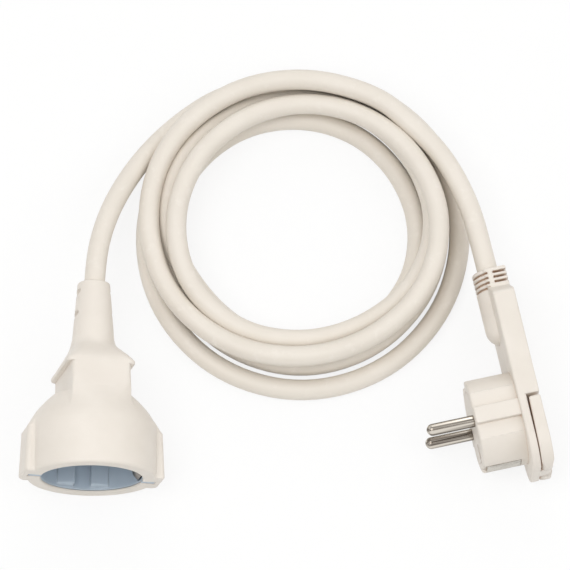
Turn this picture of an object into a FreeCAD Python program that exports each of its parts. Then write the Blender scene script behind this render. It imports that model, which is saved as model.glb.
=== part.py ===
import FreeCAD, Part
import math
import os

# Two-metre indoor extension cord lying coiled on a table: a flat earthed plug with a pull
# lever that folds out of its back, a five-turn coil, and an in-line earthed coupler.
# Millimetres, +Z up, table at z = 0, origin on the table under the middle of plug and coupler.

# ---- Where things lie on the table ----
COUPLER_X = -75.4            # axis of the coupler; its mouth faces -Y
COUPLER_MOUTH_Y = -44.0
COUPLER_ROLL = 14.0          # the coupler lies turned about its own axis, degrees
PLUG_X = 91.6                # point under the middle of the two pins, on the plate's inner face
PLUG_Y = -17.3
PLUG_YAW = 12.5              # the pins point to -X and this many degrees towards -Y
COIL_X = 6.9
COIL_Y = 62.8

# ---- Cord ----
CORD_R = 4.1
CORE_R = 1.4                 # one insulated conductor
CORE_SPREAD = 1.72           # the three conductors' centres lie on this radius in the sheath
CORD_GAP = 0.1               # round the sheath inside a boot
CORE_GAP = 0.1
CRIMP_WALL = 0.5
CRIMP_FLOOR = 1.3            # a conductor's end lies this deep in from its crimp's closed end

# ---- Shared interface of plug and coupler ----
PIN_R = 2.4
PIN_LENGTH = 19.0
PIN_PITCH = 19.0
FACE_GAP = 0.1               # between flat faces of neighbouring pieces

# ---- Coil ----
COIL_OUTER_R = 67.4
COIL_INNER_R = 43.4
COIL_INNER_SHIFT = 1.5       # the hole lies this much nearer the coil's back
COIL_HEIGHT = 25.0
COIL_EDGE = 6.0

# ---- Coupler ----
CUP_R = 25.4
CUP_DEPTH = 20.5
CUP_RIM_EDGE = 1.2
EAR_REACH = 29.0
EAR_HALF = 7.6
EAR_EDGE = 2.0
EAR_SLANT = 4.2              # the ears' back ends slope in by this much
EAR_SLANT_LENGTH = 5.0
SHOULDER_END = 33.0          # where the cup's shoulder meets the waist
WAIST_HALF_X = 11.7
WAIST_HALF_Z = 17.5
WAIST_CORNER = 5.0
HOOD_START = 43.0
HOOD_END = 55.0
HOOD_HALF_X = 13.5
HOOD_HALF_Z = 17.5
HOOD_CORNER = 6.0
HOOD_LIP = 3.4
COUPLER_LENGTH = 80.0
BOOT_BASE_R = 8.4
BOOT_TIP_R = 6.4
BOOT_WALL = 1.1              # least wall between a boot's notch and the sheath
COUPLER_NOTCHES = 2
COUPLER_NOTCH_LENGTH = 2.2
COUPLER_NOTCH_PITCH = 9.0
COUPLER_NOTCH_HALF = 3.2
COUPLER_NOTCH_FIRST = 65.4
SHEATH_IN_COUPLER = 14.0     # how far the sheath reaches into the boot

RECESS_R = 19.75
RECESS_DEPTH = 17.5
INSERT_WALL = 1.6
INSERT_FLOOR = 3.8
INSERT_SETBACK = 0.6
INSERT_GAP = 0.1
PIN_HOLE_R = 2.7
TOOTH_INNER = 3.3            # each tooth starts this far from the middle plane
TOOTH_OUTER = 10.1
TOOTH_REACH = 16.4           # the teeth stand this far from the axis
TOOTH_SETBACK = 3.5
CLIP_WIDTH = 8.0
CLIP_THICKNESS = 0.8
CLIP_SLOT_GAP = 0.6
CLIP_TIP_DEPTH = 4.5
CLIP_BEND_DEPTH = 9.0
CLIP_BEND_REACH = 17.4
CLIP_ROOT_REACH = 22.4

CARRIER_HALF_X = 9.5
CARRIER_HALF_Z = 14.5
CARRIER_LENGTH = 21.0
CARRIER_GAP = 0.1
SLEEVE_BORE_R = 2.46
SLEEVE_WALL = 1.1
SLEEVE_LENGTH = 16.2
SLEEVE_SLIT = 0.8
SLEEVE_SOLID = 4.0           # unslit length at the sleeve's closed end
CRIMP_LENGTH = 6.0
CHAMBER_HALF_X = 5.0         # wiring chamber behind the carrier
CHAMBER_HALF_Z = 14.2
CHAMBER_NARROW = 4.4
CHAMBER_LENGTH = 13.4
CORE_STRAIGHT = 3.0          # straight end of a conductor before it bends
LEAD_STRAIGHT = 7.5          # the cord leaves both boots straight for about this far

# ---- Plug: x along the handle to the cable, y the way the pins point, z across the plate ----
PLATE_THICKNESS = 8.8
PLATE_HALF = 19.0
PLATE_FAR = 24.5             # far end of the plate from the pins' plane
PLATE_CORNER = 12.0
PLATE_SHOULDER = 47.0        # the plate keeps its full width up to here
SHOULDER_LENGTH = 5.5
HANDLE_LENGTH = 60.8         # cable end of the boot from the pins' plane
BOOT_HALF = 7.2
CABLE_LEVEL = -2.2           # the cable's axis, from the plate's inner face
BULGE_R = 6.6
BULGE_LENGTH = 24.0
PLUG_GROOVE_WIDTH = 0.9
PLUG_GROOVE_PITCH = 2.0
PLUG_INNER_GROOVE_COUNT = 4
PLUG_OUTER_GROOVE_COUNT = 3
PLUG_GROOVE_FIRST = 1.6      # from the boot's cable end
GROOVE_LAND = 1.2            # smooth band on both sides of the cable's plane
SHEATH_IN_PLUG = 14.0

PUCK_R = 18.4
PUCK_DEPTH = 18.0
PUCK_EDGE = 0.9
FLAT_LEVEL = 15.6
FLAT_HALF = 9.4
RIDGE_HALF = 3.3
RIDGE_LEVEL = 17.7
BRIDGE_R = 14.1
BRIDGE_THICKNESS = 6.0
BRIDGE_GAP = 0.05
CAVITY_FLOOR = 2.7           # floor of the wiring cavity, from the plate's inner face
CAVITY_R = 13.2
PIN_SHANK_R = 2.1            # turned down where the pin goes through the bridge
PIN_COLLAR_R = 3.2
PIN_COLLAR = 1.5
PIN_TAIL = 6.0               # the pins start this far from the plate's inner face
PIN_GAP = 0.05
EARTH_HOLE_X = -10.0
EARTH_SLEEVE_R = 3.1
EARTH_SLEEVE_BORE = 2.46
EARTH_SLEEVE_SETBACK = 1.5
STRIP_THICKNESS = 0.8
STRIP_LEG_BACK = 3.0         # back end of the strip's legs, from the plate's inner face
STRIP_HALF = 4.0
STRIP_REACH = 17.9
STRIP_SETBACK = 1.6
STRIP_SLOT_GAP = 0.5
PLUG_CRIMP_LENGTH = 4.5
PLUG_CRIMP_ANGLE = 35.0
CRIMP_LEVEL = 7.4
EARTH_SLEEVE_BACK = 3.4
EARTH_CRIMP_X = 1.0
DESCENT_END = 12.0           # the conductors reach the channel's level here
CHANNEL_LEVEL = -3.2
CHANNEL_SPREAD = 3.1
CHANNEL_RISE = 26.0          # from here they rise to the sheath's end
CHANNEL_START = 7.0
CHANNEL_HALF = 5.4
CHANNEL_FLOOR = -5.5
CHANNEL_CEILING = -0.8       # skin left between the channel and the plate's inner face
WELL_LENGTH = 8.0            # the channel is open to the wiring cavity over this length
BORE_START = 4.2             # the sheath's bore starts this far before the bulge's full width

# ---- Pull lever ----
NOTCH_X = 3.9                # the plate's step that the lever's free end faces
NOTCH_GAP = 1.5
LEVER_FLOOR = -3.4           # the plate's recess floor under the lever
LEVER_GAP = 0.3
LEVER_TAPER = 0.7            # the free end's inner face is set back by this much more
LEVER_TAPER_LENGTH = 17.0
LUG_HALF = 4.0
LUG_GAP = 0.3
LUG_R = 2.1
HINGE_PIN_R = 1.0
HINGE_PIN_CLEARANCE = 0.05
HINGE_PIN_TIP = 9.5          # blind end of the hinge pin's hole
HINGE_PIN_SINK = 0.8         # the pin's visible end lies this deep

V = FreeCAD.Vector
X_AXIS = V(1, 0, 0)
Y_AXIS = V(0, 1, 0)
Z_AXIS = V(0, 0, 1)


# ---- Small makers ----
def box(x0, x1, y0, y1, z0, z1):
    return Part.makeBox(x1 - x0, y1 - y0, z1 - z0, V(x0, y0, z0))


def rod(radius, start, end):
    return Part.makeCylinder(radius, (end - start).Length, start, end - start)


def pipe(outer, inner, start, end):
    return rod(outer, start, end).cut(rod(inner, start, end))


def rounded_rectangle(half_x, half_z, corner, y):
    """A closed outline in the plane at y, centred on the y axis."""
    edges = []
    signs = ((1, 1), (-1, 1), (-1, -1), (1, -1))
    for i, (sx, sz) in enumerate(signs):
        centre = V(sx * (half_x - corner), y, sz * (half_z - corner))
        first = 90.0 * i
        at = [
            centre + V(corner * math.cos(math.radians(a)), 0, corner * math.sin(math.radians(a)))
            for a in (first, first + 45, first + 90)
        ]
        edges.append(Part.Arc(*at).toShape())
    sides = [
        Part.LineSegment(edges[i].Vertexes[-1].Point, edges[(i + 1) % 4].Vertexes[0].Point).toShape()
        for i in range(4)
    ]
    return Part.Wire([edge for pair in zip(edges, sides) for edge in pair])


def rectangle(half_x, half_z, y):
    corners = [V(half_x, y, half_z), V(-half_x, y, half_z), V(-half_x, y, -half_z), V(half_x, y, -half_z)]
    return Part.makePolygon(corners + corners[:1])


def bent_path(points):
    """Straight runs joined by tangent arcs, and the arcs' radii."""
    edges = []
    radii = []
    start = points[0]
    for before, corner, after in zip(points, points[1:], points[2:]):
        back = before - corner
        ahead = after - corner
        half_turn = (math.pi - back.getAngle(ahead)) / 2
        shorter = min(back.Length, ahead.Length)
        radius = 0.45 * shorter / math.tan(half_turn)
        reach = 0.45 * shorter
        back.normalize()
        ahead.normalize()
        middle = back + ahead
        middle.normalize()
        inward = radius / math.cos(half_turn) - radius
        arc = Part.Arc(corner + back * reach, corner + middle * inward, corner + ahead * reach)
        edges.append(Part.LineSegment(start, corner + back * reach).toShape())
        edges.append(arc.toShape())
        start = corner + ahead * reach
        radii.append(radius)
    edges.append(Part.LineSegment(start, points[-1]).toShape())
    return Part.Wire(edges), radii


def bent_rod(points, radius):
    path, radii = bent_path(points)
    section = Part.Wire([Part.makeCircle(radius, points[0], points[1] - points[0])])
    return path.makePipeShell([section], True, False), path.Length, radii


def core_offsets():
    """Places of line, neutral and earth in the sheath, as (sideways, upwards)."""
    angles = [math.radians(a) for a in (90, 210, 330)]
    return [(CORE_SPREAD * math.cos(a), CORE_SPREAD * math.sin(a)) for a in angles]


# ---- Coupler, in its own frame: mouth at y = 0, body towards +y, pins side by side in z ----
def coupler_shell():
    rim = [V(CUP_R - CUP_RIM_EDGE, 0, 0), V(CUP_R, CUP_RIM_EDGE, 0)]
    shoulder = [V(0, 0, 0)] + rim + [V(CUP_R, CUP_DEPTH, 0)]
    waist_r = WAIST_HALF_Z - 1.0
    bulge = V((CUP_R + waist_r) / 2 + 1.8, (CUP_DEPTH + SHOULDER_END) / 2 + 1.6, 0)
    profile = [Part.LineSegment(a, b).toShape() for a, b in zip(shoulder, shoulder[1:])]
    profile.append(Part.Arc(shoulder[-1], bulge, V(waist_r, SHOULDER_END, 0)).toShape())
    profile.append(Part.LineSegment(V(waist_r, SHOULDER_END, 0), V(0, SHOULDER_END, 0)).toShape())
    profile.append(Part.LineSegment(V(0, SHOULDER_END, 0), shoulder[0]).toShape())
    cup = Part.Face(Part.Wire(profile)).revolve(V(0, 0, 0), Y_AXIS, 360)

    ear_side = [
        V(0, 0, -EAR_HALF),
        V(EAR_REACH, 0, -EAR_HALF),
        V(EAR_REACH, CUP_DEPTH - EAR_SLANT_LENGTH, -EAR_HALF),
        V(EAR_REACH - EAR_SLANT, CUP_DEPTH, -EAR_HALF),
        V(0, CUP_DEPTH, -EAR_HALF),
    ]
    ear = Part.Face(Part.makePolygon(ear_side + ear_side[:1])).extrude(V(0, 0, 2 * EAR_HALF))
    ear = ear.makeFillet(EAR_EDGE, [e for e in ear.Edges if e.CenterOfMass.x > EAR_REACH - 0.1])
    ears = [ear, ear.mirror(V(0, 0, 0), X_AXIS)]

    waist = Part.Face(rounded_rectangle(WAIST_HALF_X, WAIST_HALF_Z, WAIST_CORNER, SHOULDER_END - 4))
    waist = waist.extrude(V(0, HOOD_START + HOOD_LIP - SHOULDER_END + 4, 0))
    lip = Part.Face(rounded_rectangle(HOOD_HALF_X, HOOD_HALF_Z, HOOD_CORNER, HOOD_START))
    lip = lip.extrude(V(0, HOOD_LIP, 0))
    hood = Part.makeLoft([
        rounded_rectangle(HOOD_HALF_X, HOOD_HALF_Z, HOOD_CORNER, HOOD_START + HOOD_LIP),
        rounded_rectangle(BOOT_BASE_R, BOOT_BASE_R, BOOT_BASE_R - 0.5, HOOD_END),
    ], True, True)
    boot = Part.makeCone(
        BOOT_BASE_R, BOOT_TIP_R, COUPLER_LENGTH - HOOD_END + 0.5, V(0, HOOD_END - 0.5, 0), Y_AXIS
    )
    shell = cup.fuse([*ears, waist, lip, hood, boot]).removeSplitter()

    insert_r = RECESS_R + INSERT_WALL + INSERT_GAP
    insert_back = insert_back_level()
    carrier_start, carrier_back = carrier_levels()
    clip_half = CLIP_WIDTH / 2 + CLIP_SLOT_GAP
    clip_outer = CLIP_ROOT_REACH + CLIP_THICKNESS + FACE_GAP
    hollow = rod(insert_r, V(0, -1, 0), V(0, insert_back + FACE_GAP, 0))
    clip_slot = box(
        -clip_outer, clip_outer, INSERT_SETBACK + 1.0, carrier_start - FACE_GAP, -clip_half, clip_half
    )
    carrier_room = box(
        -CARRIER_HALF_X - CARRIER_GAP, CARRIER_HALF_X + CARRIER_GAP, insert_back, carrier_back,
        -CARRIER_HALF_Z - CARRIER_GAP, CARRIER_HALF_Z + CARRIER_GAP,
    )
    chamber = Part.makeLoft([
        rectangle(CHAMBER_HALF_X, CHAMBER_HALF_Z, carrier_back),
        rectangle(CHAMBER_NARROW, CHAMBER_NARROW, carrier_back + CHAMBER_LENGTH),
    ], True, True)
    bore = rod(CORD_R + CORD_GAP, V(0, carrier_back + CHAMBER_LENGTH - 1, 0), V(0, COUPLER_LENGTH + 1, 0))
    shell = shell.cut([hollow, clip_slot, carrier_room, chamber, bore])

    for i in range(COUPLER_NOTCHES):
        y = COUPLER_NOTCH_FIRST + i * COUPLER_NOTCH_PITCH
        floor = CORD_R + CORD_GAP + BOOT_WALL
        for side in (-1, 1):
            near, far = sorted((side * floor, side * (BOOT_BASE_R + 1)))
            notch = box(near, far, y, y + COUPLER_NOTCH_LENGTH, -COUPLER_NOTCH_HALF, COUPLER_NOTCH_HALF)
            shell = shell.cut(notch)
    return shell


def insert_back_level():
    return INSERT_SETBACK + RECESS_DEPTH + INSERT_FLOOR


def socket_insert():
    front = INSERT_SETBACK
    floor = front + RECESS_DEPTH
    back = insert_back_level()
    outer = rod(RECESS_R + INSERT_WALL, V(0, front, 0), V(0, back, 0))
    recess = rod(RECESS_R, V(0, front - 1, 0), V(0, floor, 0))
    body = outer.cut(recess)
    for sx in (-1, 1):
        for sz in (-1, 1):
            x0, x1 = sorted((sx * TOOTH_INNER, sx * TOOTH_OUTER))
            z0, z1 = sorted((sz * TOOTH_REACH, sz * (RECESS_R + INSERT_WALL / 2)))
            tooth = box(x0, x1, front + TOOTH_SETBACK, floor + 0.5, z0, z1)
            body = body.fuse(tooth.common(outer))
    half = CLIP_WIDTH / 2 + CLIP_SLOT_GAP
    slot_floor = CLIP_BEND_REACH - CLIP_THICKNESS - CLIP_SLOT_GAP
    for sx in (-1, 1):
        x0, x1 = sorted((sx * slot_floor, sx * (RECESS_R + INSERT_WALL + 1)))
        body = body.cut(box(x0, x1, front + 1.0, back + 1, -half, half))
    for sz in (-1, 1):
        z = sz * PIN_PITCH / 2
        body = body.cut(rod(PIN_HOLE_R, V(0, floor - 1, z), V(0, back + 1, z)))
    return body.removeSplitter()


def coupler_earth_clip():
    """A U of spring strip: its base behind the insert, one bowed leg at each side."""
    back = insert_back_level() + FACE_GAP
    inner = [
        V(0, back, 0),
        V(CLIP_ROOT_REACH, back, 0),
        V(CLIP_BEND_REACH, CLIP_BEND_DEPTH, 0),
        V(CLIP_BEND_REACH + 1.8, CLIP_TIP_DEPTH, 0),
    ]
    t = CLIP_THICKNESS
    outer = [
        V(CLIP_BEND_REACH + 1.8 + t, CLIP_TIP_DEPTH, 0),
        V(CLIP_BEND_REACH + t, CLIP_BEND_DEPTH, 0),
        V(CLIP_ROOT_REACH + t, back + t, 0),
        V(0, back + t, 0),
    ]
    section = Part.makePolygon(inner + outer + inner[:1])
    leg = Part.Face(section).extrude(V(0, 0, CLIP_WIDTH))
    leg.translate(V(0, 0, -CLIP_WIDTH / 2))
    return leg.fuse(leg.mirror(V(0, 0, 0), X_AXIS)).removeSplitter()


def carrier_levels():
    """Front and back of the contact carrier, which stands behind the earth clip's base."""
    start = insert_back_level() + 2 * FACE_GAP + CLIP_THICKNESS
    return start, start + CARRIER_LENGTH


def sleeve_back_level():
    start, back = carrier_levels()
    return start + SLEEVE_LENGTH - FACE_GAP


def contact_carrier():
    start, back = carrier_levels()
    sleeve_end = start + SLEEVE_LENGTH
    crimp_r = CORE_R + CORE_GAP + CRIMP_WALL + CORE_GAP
    block = box(-CARRIER_HALF_X, CARRIER_HALF_X, start, back, -CARRIER_HALF_Z, CARRIER_HALF_Z)
    for sz in (-1, 1):
        z = sz * PIN_PITCH / 2
        sleeve_r = SLEEVE_BORE_R + SLEEVE_WALL + CARRIER_GAP
        block = block.cut(rod(sleeve_r, V(0, start - 1, z), V(0, sleeve_end, z)))
        block = block.cut(rod(crimp_r, V(0, sleeve_end - 1, z), V(0, back + 1, z)))
    return block.cut(rod(crimp_r, V(0, start - 1, 0), V(0, back + 1, 0)))


def contact_sleeve(z):
    """A slit tube that grips one pin, closed by a thin wall where the crimp joins on."""
    end = sleeve_back_level()
    outer = SLEEVE_BORE_R + SLEEVE_WALL
    mouth = insert_back_level() + FACE_GAP
    sleeve = pipe(outer, SLEEVE_BORE_R, V(0, mouth, z), V(0, end, z))
    floor = rod(outer, V(0, end - 1, z), V(0, end, z))
    slit = box(-SLEEVE_SLIT / 2, SLEEVE_SLIT / 2, mouth - 1, end - SLEEVE_SOLID, z, z + outer + 1)
    return sleeve.fuse(floor).cut(slit).removeSplitter()


def clip_back_level():
    return insert_back_level() + FACE_GAP + CLIP_THICKNESS


def coupler_crimps():
    """Line, neutral and earth crimps, each a cup that holds the end of its conductor."""
    rear = {
        "coupler_line_crimp": (sleeve_back_level(), PIN_PITCH / 2),
        "coupler_neutral_crimp": (sleeve_back_level(), -PIN_PITCH / 2),
        "coupler_earth_crimp": (clip_back_level(), 0.0),
    }
    outer = CORE_R + CORE_GAP + CRIMP_WALL
    crimps = {}
    for name, (y, z) in rear.items():
        cup = rod(outer, V(0, y, z), V(0, y + CRIMP_LENGTH, z))
        mouth = rod(CORE_R + CORE_GAP, V(0, y + CRIMP_FLOOR - FACE_GAP, z), V(0, y + CRIMP_LENGTH + 1, z))
        crimps[name] = cup.cut(mouth)
    return crimps


def coupler_cores():
    start, back = carrier_levels()
    sheath_end = COUPLER_LENGTH - SHEATH_IN_COUPLER
    ends = {
        "coupler_line_core": (sleeve_back_level() + CRIMP_FLOOR, PIN_PITCH / 2),
        "coupler_neutral_core": (sleeve_back_level() + CRIMP_FLOOR, -PIN_PITCH / 2),
        "coupler_earth_core": (clip_back_level() + CRIMP_FLOOR, 0.0),
    }
    cores = {}
    for (name, (y, z)), (side, up) in zip(ends.items(), core_offsets()):
        points = [
            V(0, y, z),
            V(0, back + CORE_STRAIGHT, z),
            V(side, back + CHAMBER_LENGTH - CORE_GAP, up),
            V(side, sheath_end, up),
        ]
        cores[name] = bent_rod(points, CORE_R)[0]
    return cores


# ---- Plug, in its own frame ----
def plate_outline(y):
    """The plate's outline, with round far corners and sloping shoulders at the boot."""
    middle = V(-PLATE_FAR + PLATE_CORNER, y, -PLATE_HALF + PLATE_CORNER)
    slant = PLATE_CORNER * math.sqrt(0.5)
    low = [middle - Z_AXIS * PLATE_CORNER, middle - V(slant, 0, slant), middle - X_AXIS * PLATE_CORNER]
    high = [V(p.x, y, -p.z) for p in reversed(low)]
    boot = V(PLATE_SHOULDER + SHOULDER_LENGTH, y, BOOT_HALF)
    sides = [high[2], V(PLATE_SHOULDER, y, PLATE_HALF), boot, V(HANDLE_LENGTH, y, BOOT_HALF)]
    mirrored = [V(p.x, y, -p.z) for p in reversed(sides)]
    edges = [Part.Arc(*low).toShape(), Part.LineSegment(low[2], high[0]).toShape()]
    edges.append(Part.Arc(*high).toShape())
    points = sides + mirrored
    edges += [Part.LineSegment(a, b).toShape() for a, b in zip(points, points[1:])]
    return Part.Wire(edges)


def hinge_place():
    """The hinge lies in the middle of the lever's thickness, as far from the plate's end as from its back."""
    level = (LEVER_FLOOR - LEVER_GAP - PLATE_THICKNESS) / 2
    return -PLATE_FAR + level + PLATE_THICKNESS, level


def puck():
    body = rod(PUCK_R, V(0, -0.5, 0), V(0, PUCK_DEPTH, 0))
    front = [e for e in body.Edges if e.CenterOfMass.y > PUCK_DEPTH - 0.01 and len(e.Vertexes) == 1]
    body = body.makeFillet(PUCK_EDGE, front)
    for sz in (-1, 1):
        z0, z1 = sorted((sz * FLAT_LEVEL, sz * (PUCK_R + 1)))
        r0, r1 = sorted((sz * RIDGE_LEVEL, sz * (PUCK_R + 1)))
        for sx in (-1, 1):
            x0, x1 = sorted((sx * RIDGE_HALF, sx * FLAT_HALF))
            body = body.cut(box(x0, x1, 0, PUCK_DEPTH + 1, z0, z1))
        body = body.cut(box(-RIDGE_HALF, RIDGE_HALF, 0, PUCK_DEPTH + 1, r0, r1))
    return body


def plug_body():
    plate = Part.Face(plate_outline(-PLATE_THICKNESS)).extrude(V(0, PLATE_THICKNESS, 0))
    bulge_start = HANDLE_LENGTH - BULGE_LENGTH
    bore_start = bulge_start - BORE_START
    axis_start = V(bulge_start, CABLE_LEVEL, 0)
    axis_end = V(HANDLE_LENGTH, CABLE_LEVEL, 0)
    bulge = rod(BULGE_R, axis_start, axis_end).fuse(Part.makeSphere(BULGE_R, axis_start))
    outside = box(-PLATE_FAR, HANDLE_LENGTH, -PLATE_THICKNESS, PUCK_DEPTH, -PLATE_HALF, PLATE_HALF)
    body = plate.fuse([bulge.common(outside), puck()]).removeSplitter()

    for count, side in ((PLUG_INNER_GROOVE_COUNT, 1), (PLUG_OUTER_GROOVE_COUNT, -1)):
        for i in range(count):
            x1 = HANDLE_LENGTH - PLUG_GROOVE_FIRST - i * PLUG_GROOVE_PITCH
            x0 = x1 - PLUG_GROOVE_WIDTH
            y0, y1 = sorted((CABLE_LEVEL + side * GROOVE_LAND, side * 2 * PLATE_THICKNESS))
            slab = box(x0, x1, y0, y1, -PLATE_HALF, PLATE_HALF)
            core = rod(CORD_R + CORD_GAP + BOOT_WALL, V(x0, CABLE_LEVEL, 0), V(x1, CABLE_LEVEL, 0))
            body = body.cut(slab.cut(core))

    strip_half = STRIP_HALF + STRIP_SLOT_GAP
    strip_back, strip_front = strip_levels()
    hollows = [
        rod(BRIDGE_R + BRIDGE_GAP, V(0, strip_front, 0), V(0, PUCK_DEPTH + 1, 0)),
        rod(CAVITY_R, V(0, CAVITY_FLOOR, 0), V(0, PUCK_DEPTH, 0)),
        box(CHANNEL_START, bore_start + 1, CHANNEL_FLOOR, CHANNEL_CEILING, -CHANNEL_HALF, CHANNEL_HALF),
        box(CHANNEL_START, CHANNEL_START + WELL_LENGTH, CHANNEL_FLOOR, CAVITY_FLOOR + 0.5,
            -CHANNEL_HALF, CHANNEL_HALF),
        rod(CORD_R + CORD_GAP, V(bore_start, CABLE_LEVEL, 0), V(HANDLE_LENGTH + 1, CABLE_LEVEL, 0)),
        box(-STRIP_REACH, STRIP_REACH, strip_back - FACE_GAP, strip_front, -strip_half, strip_half),
    ]
    for sx in (-1, 1):
        inner = STRIP_REACH - STRIP_THICKNESS - STRIP_SLOT_GAP
        x0, x1 = sorted((sx * inner, sx * (PUCK_R + 1)))
        leg_back = STRIP_LEG_BACK - FACE_GAP
        hollows.append(box(x0, x1, leg_back, PUCK_DEPTH + 1, -strip_half, strip_half))
    body = body.cut(hollows)

    hinge_x, level = hinge_place()
    side = PLATE_HALF + 1
    recess = box(-PLATE_FAR - 1, NOTCH_X, -PLATE_THICKNESS - 1, LEVER_FLOOR, -side, side)
    body = body.cut(recess)
    lug = rod(LUG_R, V(hinge_x, level, -LUG_HALF), V(hinge_x, level, LUG_HALF))
    lug = lug.fuse(box(hinge_x - LUG_R, hinge_x + LUG_R, level, LEVER_FLOOR + 0.5, -LUG_HALF, LUG_HALF))
    pin_ends = [V(hinge_x, level, w) for w in (-LUG_HALF - 1, LUG_HALF + 1)]
    pin_hole = rod(HINGE_PIN_R + HINGE_PIN_CLEARANCE, *pin_ends)
    return body.fuse(lug).cut(pin_hole).removeSplitter()


def pin_bridge():
    back = PUCK_DEPTH - BRIDGE_THICKNESS
    bridge = rod(BRIDGE_R, V(0, back, 0), V(0, PUCK_DEPTH, 0))
    for sz in (-1, 1):
        z = sz * PIN_PITCH / 2
        bridge = bridge.cut(rod(PIN_SHANK_R + PIN_GAP, V(0, back - 1, z), V(0, PUCK_DEPTH + 1, z)))
    hole = rod(EARTH_SLEEVE_R + PIN_GAP, V(EARTH_HOLE_X, back - 1, 0), V(EARTH_HOLE_X, PUCK_DEPTH + 1, 0))
    return bridge.cut(hole)


def plug_pin(z):
    """A solid round pin with a domed tip, held in the bridge between its shoulder and a collar."""
    shoulder = PUCK_DEPTH + FACE_GAP
    dome_middle = V(0, PUCK_DEPTH + PIN_LENGTH - PIN_R, z)
    collar_front = PUCK_DEPTH - BRIDGE_THICKNESS - FACE_GAP
    shank = rod(PIN_SHANK_R, V(0, PIN_TAIL, z), V(0, shoulder + 1, z))
    pin = rod(PIN_R, V(0, shoulder, z), dome_middle).fuse(Part.makeSphere(PIN_R, dome_middle))
    collar = rod(PIN_COLLAR_R, V(0, collar_front - PIN_COLLAR, z), V(0, collar_front, z))
    return shank.fuse([pin, collar]).removeSplitter()


def strip_levels():
    """Back and front of the earth strip's base, which lies flat behind the bridge."""
    front = PUCK_DEPTH - BRIDGE_THICKNESS - FACE_GAP
    return front - STRIP_THICKNESS, front


def earth_sleeve():
    """The socket for a fixed earth pin, set through the earth strip and the bridge."""
    start = V(EARTH_HOLE_X, EARTH_SLEEVE_BACK, 0)
    mouth = V(EARTH_HOLE_X, PUCK_DEPTH - EARTH_SLEEVE_SETBACK, 0)
    tube = pipe(EARTH_SLEEVE_R, EARTH_SLEEVE_BORE, start, mouth)
    return tube.fuse(rod(EARTH_SLEEVE_R, start, start + V(0, 1.0, 0))).removeSplitter()


def plug_earth_strip():
    """A U of strip metal whose legs show at both sides of the round front part."""
    back, front = strip_levels()
    top = PUCK_DEPTH - STRIP_SETBACK
    t = STRIP_THICKNESS
    base = box(-STRIP_REACH, STRIP_REACH, back, front, -STRIP_HALF, STRIP_HALF)
    legs = [
        box(inner, inner + t, STRIP_LEG_BACK, top, -STRIP_HALF, STRIP_HALF)
        for inner in (-STRIP_REACH, STRIP_REACH - t)
    ]
    hole = rod(EARTH_SLEEVE_R + PIN_GAP, V(EARTH_HOLE_X, back - 1, 0), V(EARTH_HOLE_X, front + 1, 0))
    return base.fuse(legs).cut(hole).removeSplitter()


def earth_crimp_level():
    back, front = strip_levels()
    return back - (CORE_R + CORE_GAP + CRIMP_WALL)


def plug_crimp_line(side):
    """Start and direction of the crimp on the pin at that side."""
    angle = math.radians(PLUG_CRIMP_ANGLE)
    along = V(math.cos(angle), 0, -side * math.sin(angle))
    start = V(0, CRIMP_LEVEL, side * PIN_PITCH / 2) + along * (PIN_SHANK_R + FACE_GAP)
    return start, along


def plug_crimps():
    outer = CORE_R + CORE_GAP + CRIMP_WALL
    places = {
        "plug_line_crimp": plug_crimp_line(1),
        "plug_neutral_crimp": plug_crimp_line(-1),
        "plug_earth_crimp": (V(EARTH_CRIMP_X, earth_crimp_level(), 0), X_AXIS),
    }
    crimps = {}
    for name, (start, along) in places.items():
        cup = rod(outer, start, start + along * PLUG_CRIMP_LENGTH)
        mouth_end = start + along * (PLUG_CRIMP_LENGTH + 1)
        mouth = rod(CORE_R + CORE_GAP, start + along * (CRIMP_FLOOR - FACE_GAP), mouth_end)
        crimps[name] = cup.cut(mouth)
    return crimps


def plug_cores():
    sheath_end = HANDLE_LENGTH - SHEATH_IN_PLUG
    spread = CORE_SPREAD * math.cos(math.radians(30))
    cores = {}
    for name, side in (("plug_line_core", 1), ("plug_neutral_core", -1)):
        start, along = plug_crimp_line(side)
        level = CABLE_LEVEL + CORE_SPREAD / 2
        points = [
            start + along * CRIMP_FLOOR,
            start + along * (PLUG_CRIMP_LENGTH + CORE_STRAIGHT - 1),
            V(DESCENT_END, CHANNEL_LEVEL, side * CHANNEL_SPREAD),
            V(CHANNEL_RISE, CHANNEL_LEVEL, side * CHANNEL_SPREAD),
            V(sheath_end - CORE_STRAIGHT, level, side * spread),
            V(sheath_end, level, side * spread),
        ]
        cores[name] = bent_rod(points, CORE_R)[0]
    level = CABLE_LEVEL - CORE_SPREAD
    earth_level = earth_crimp_level()
    points = [
        V(EARTH_CRIMP_X + CRIMP_FLOOR, earth_level, 0),
        V(EARTH_CRIMP_X + PLUG_CRIMP_LENGTH + CORE_STRAIGHT, earth_level, 0),
        V(DESCENT_END, level, 0),
        V(sheath_end, level, 0),
    ]
    cores["plug_earth_core"] = bent_rod(points, CORE_R)[0]
    return cores


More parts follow.
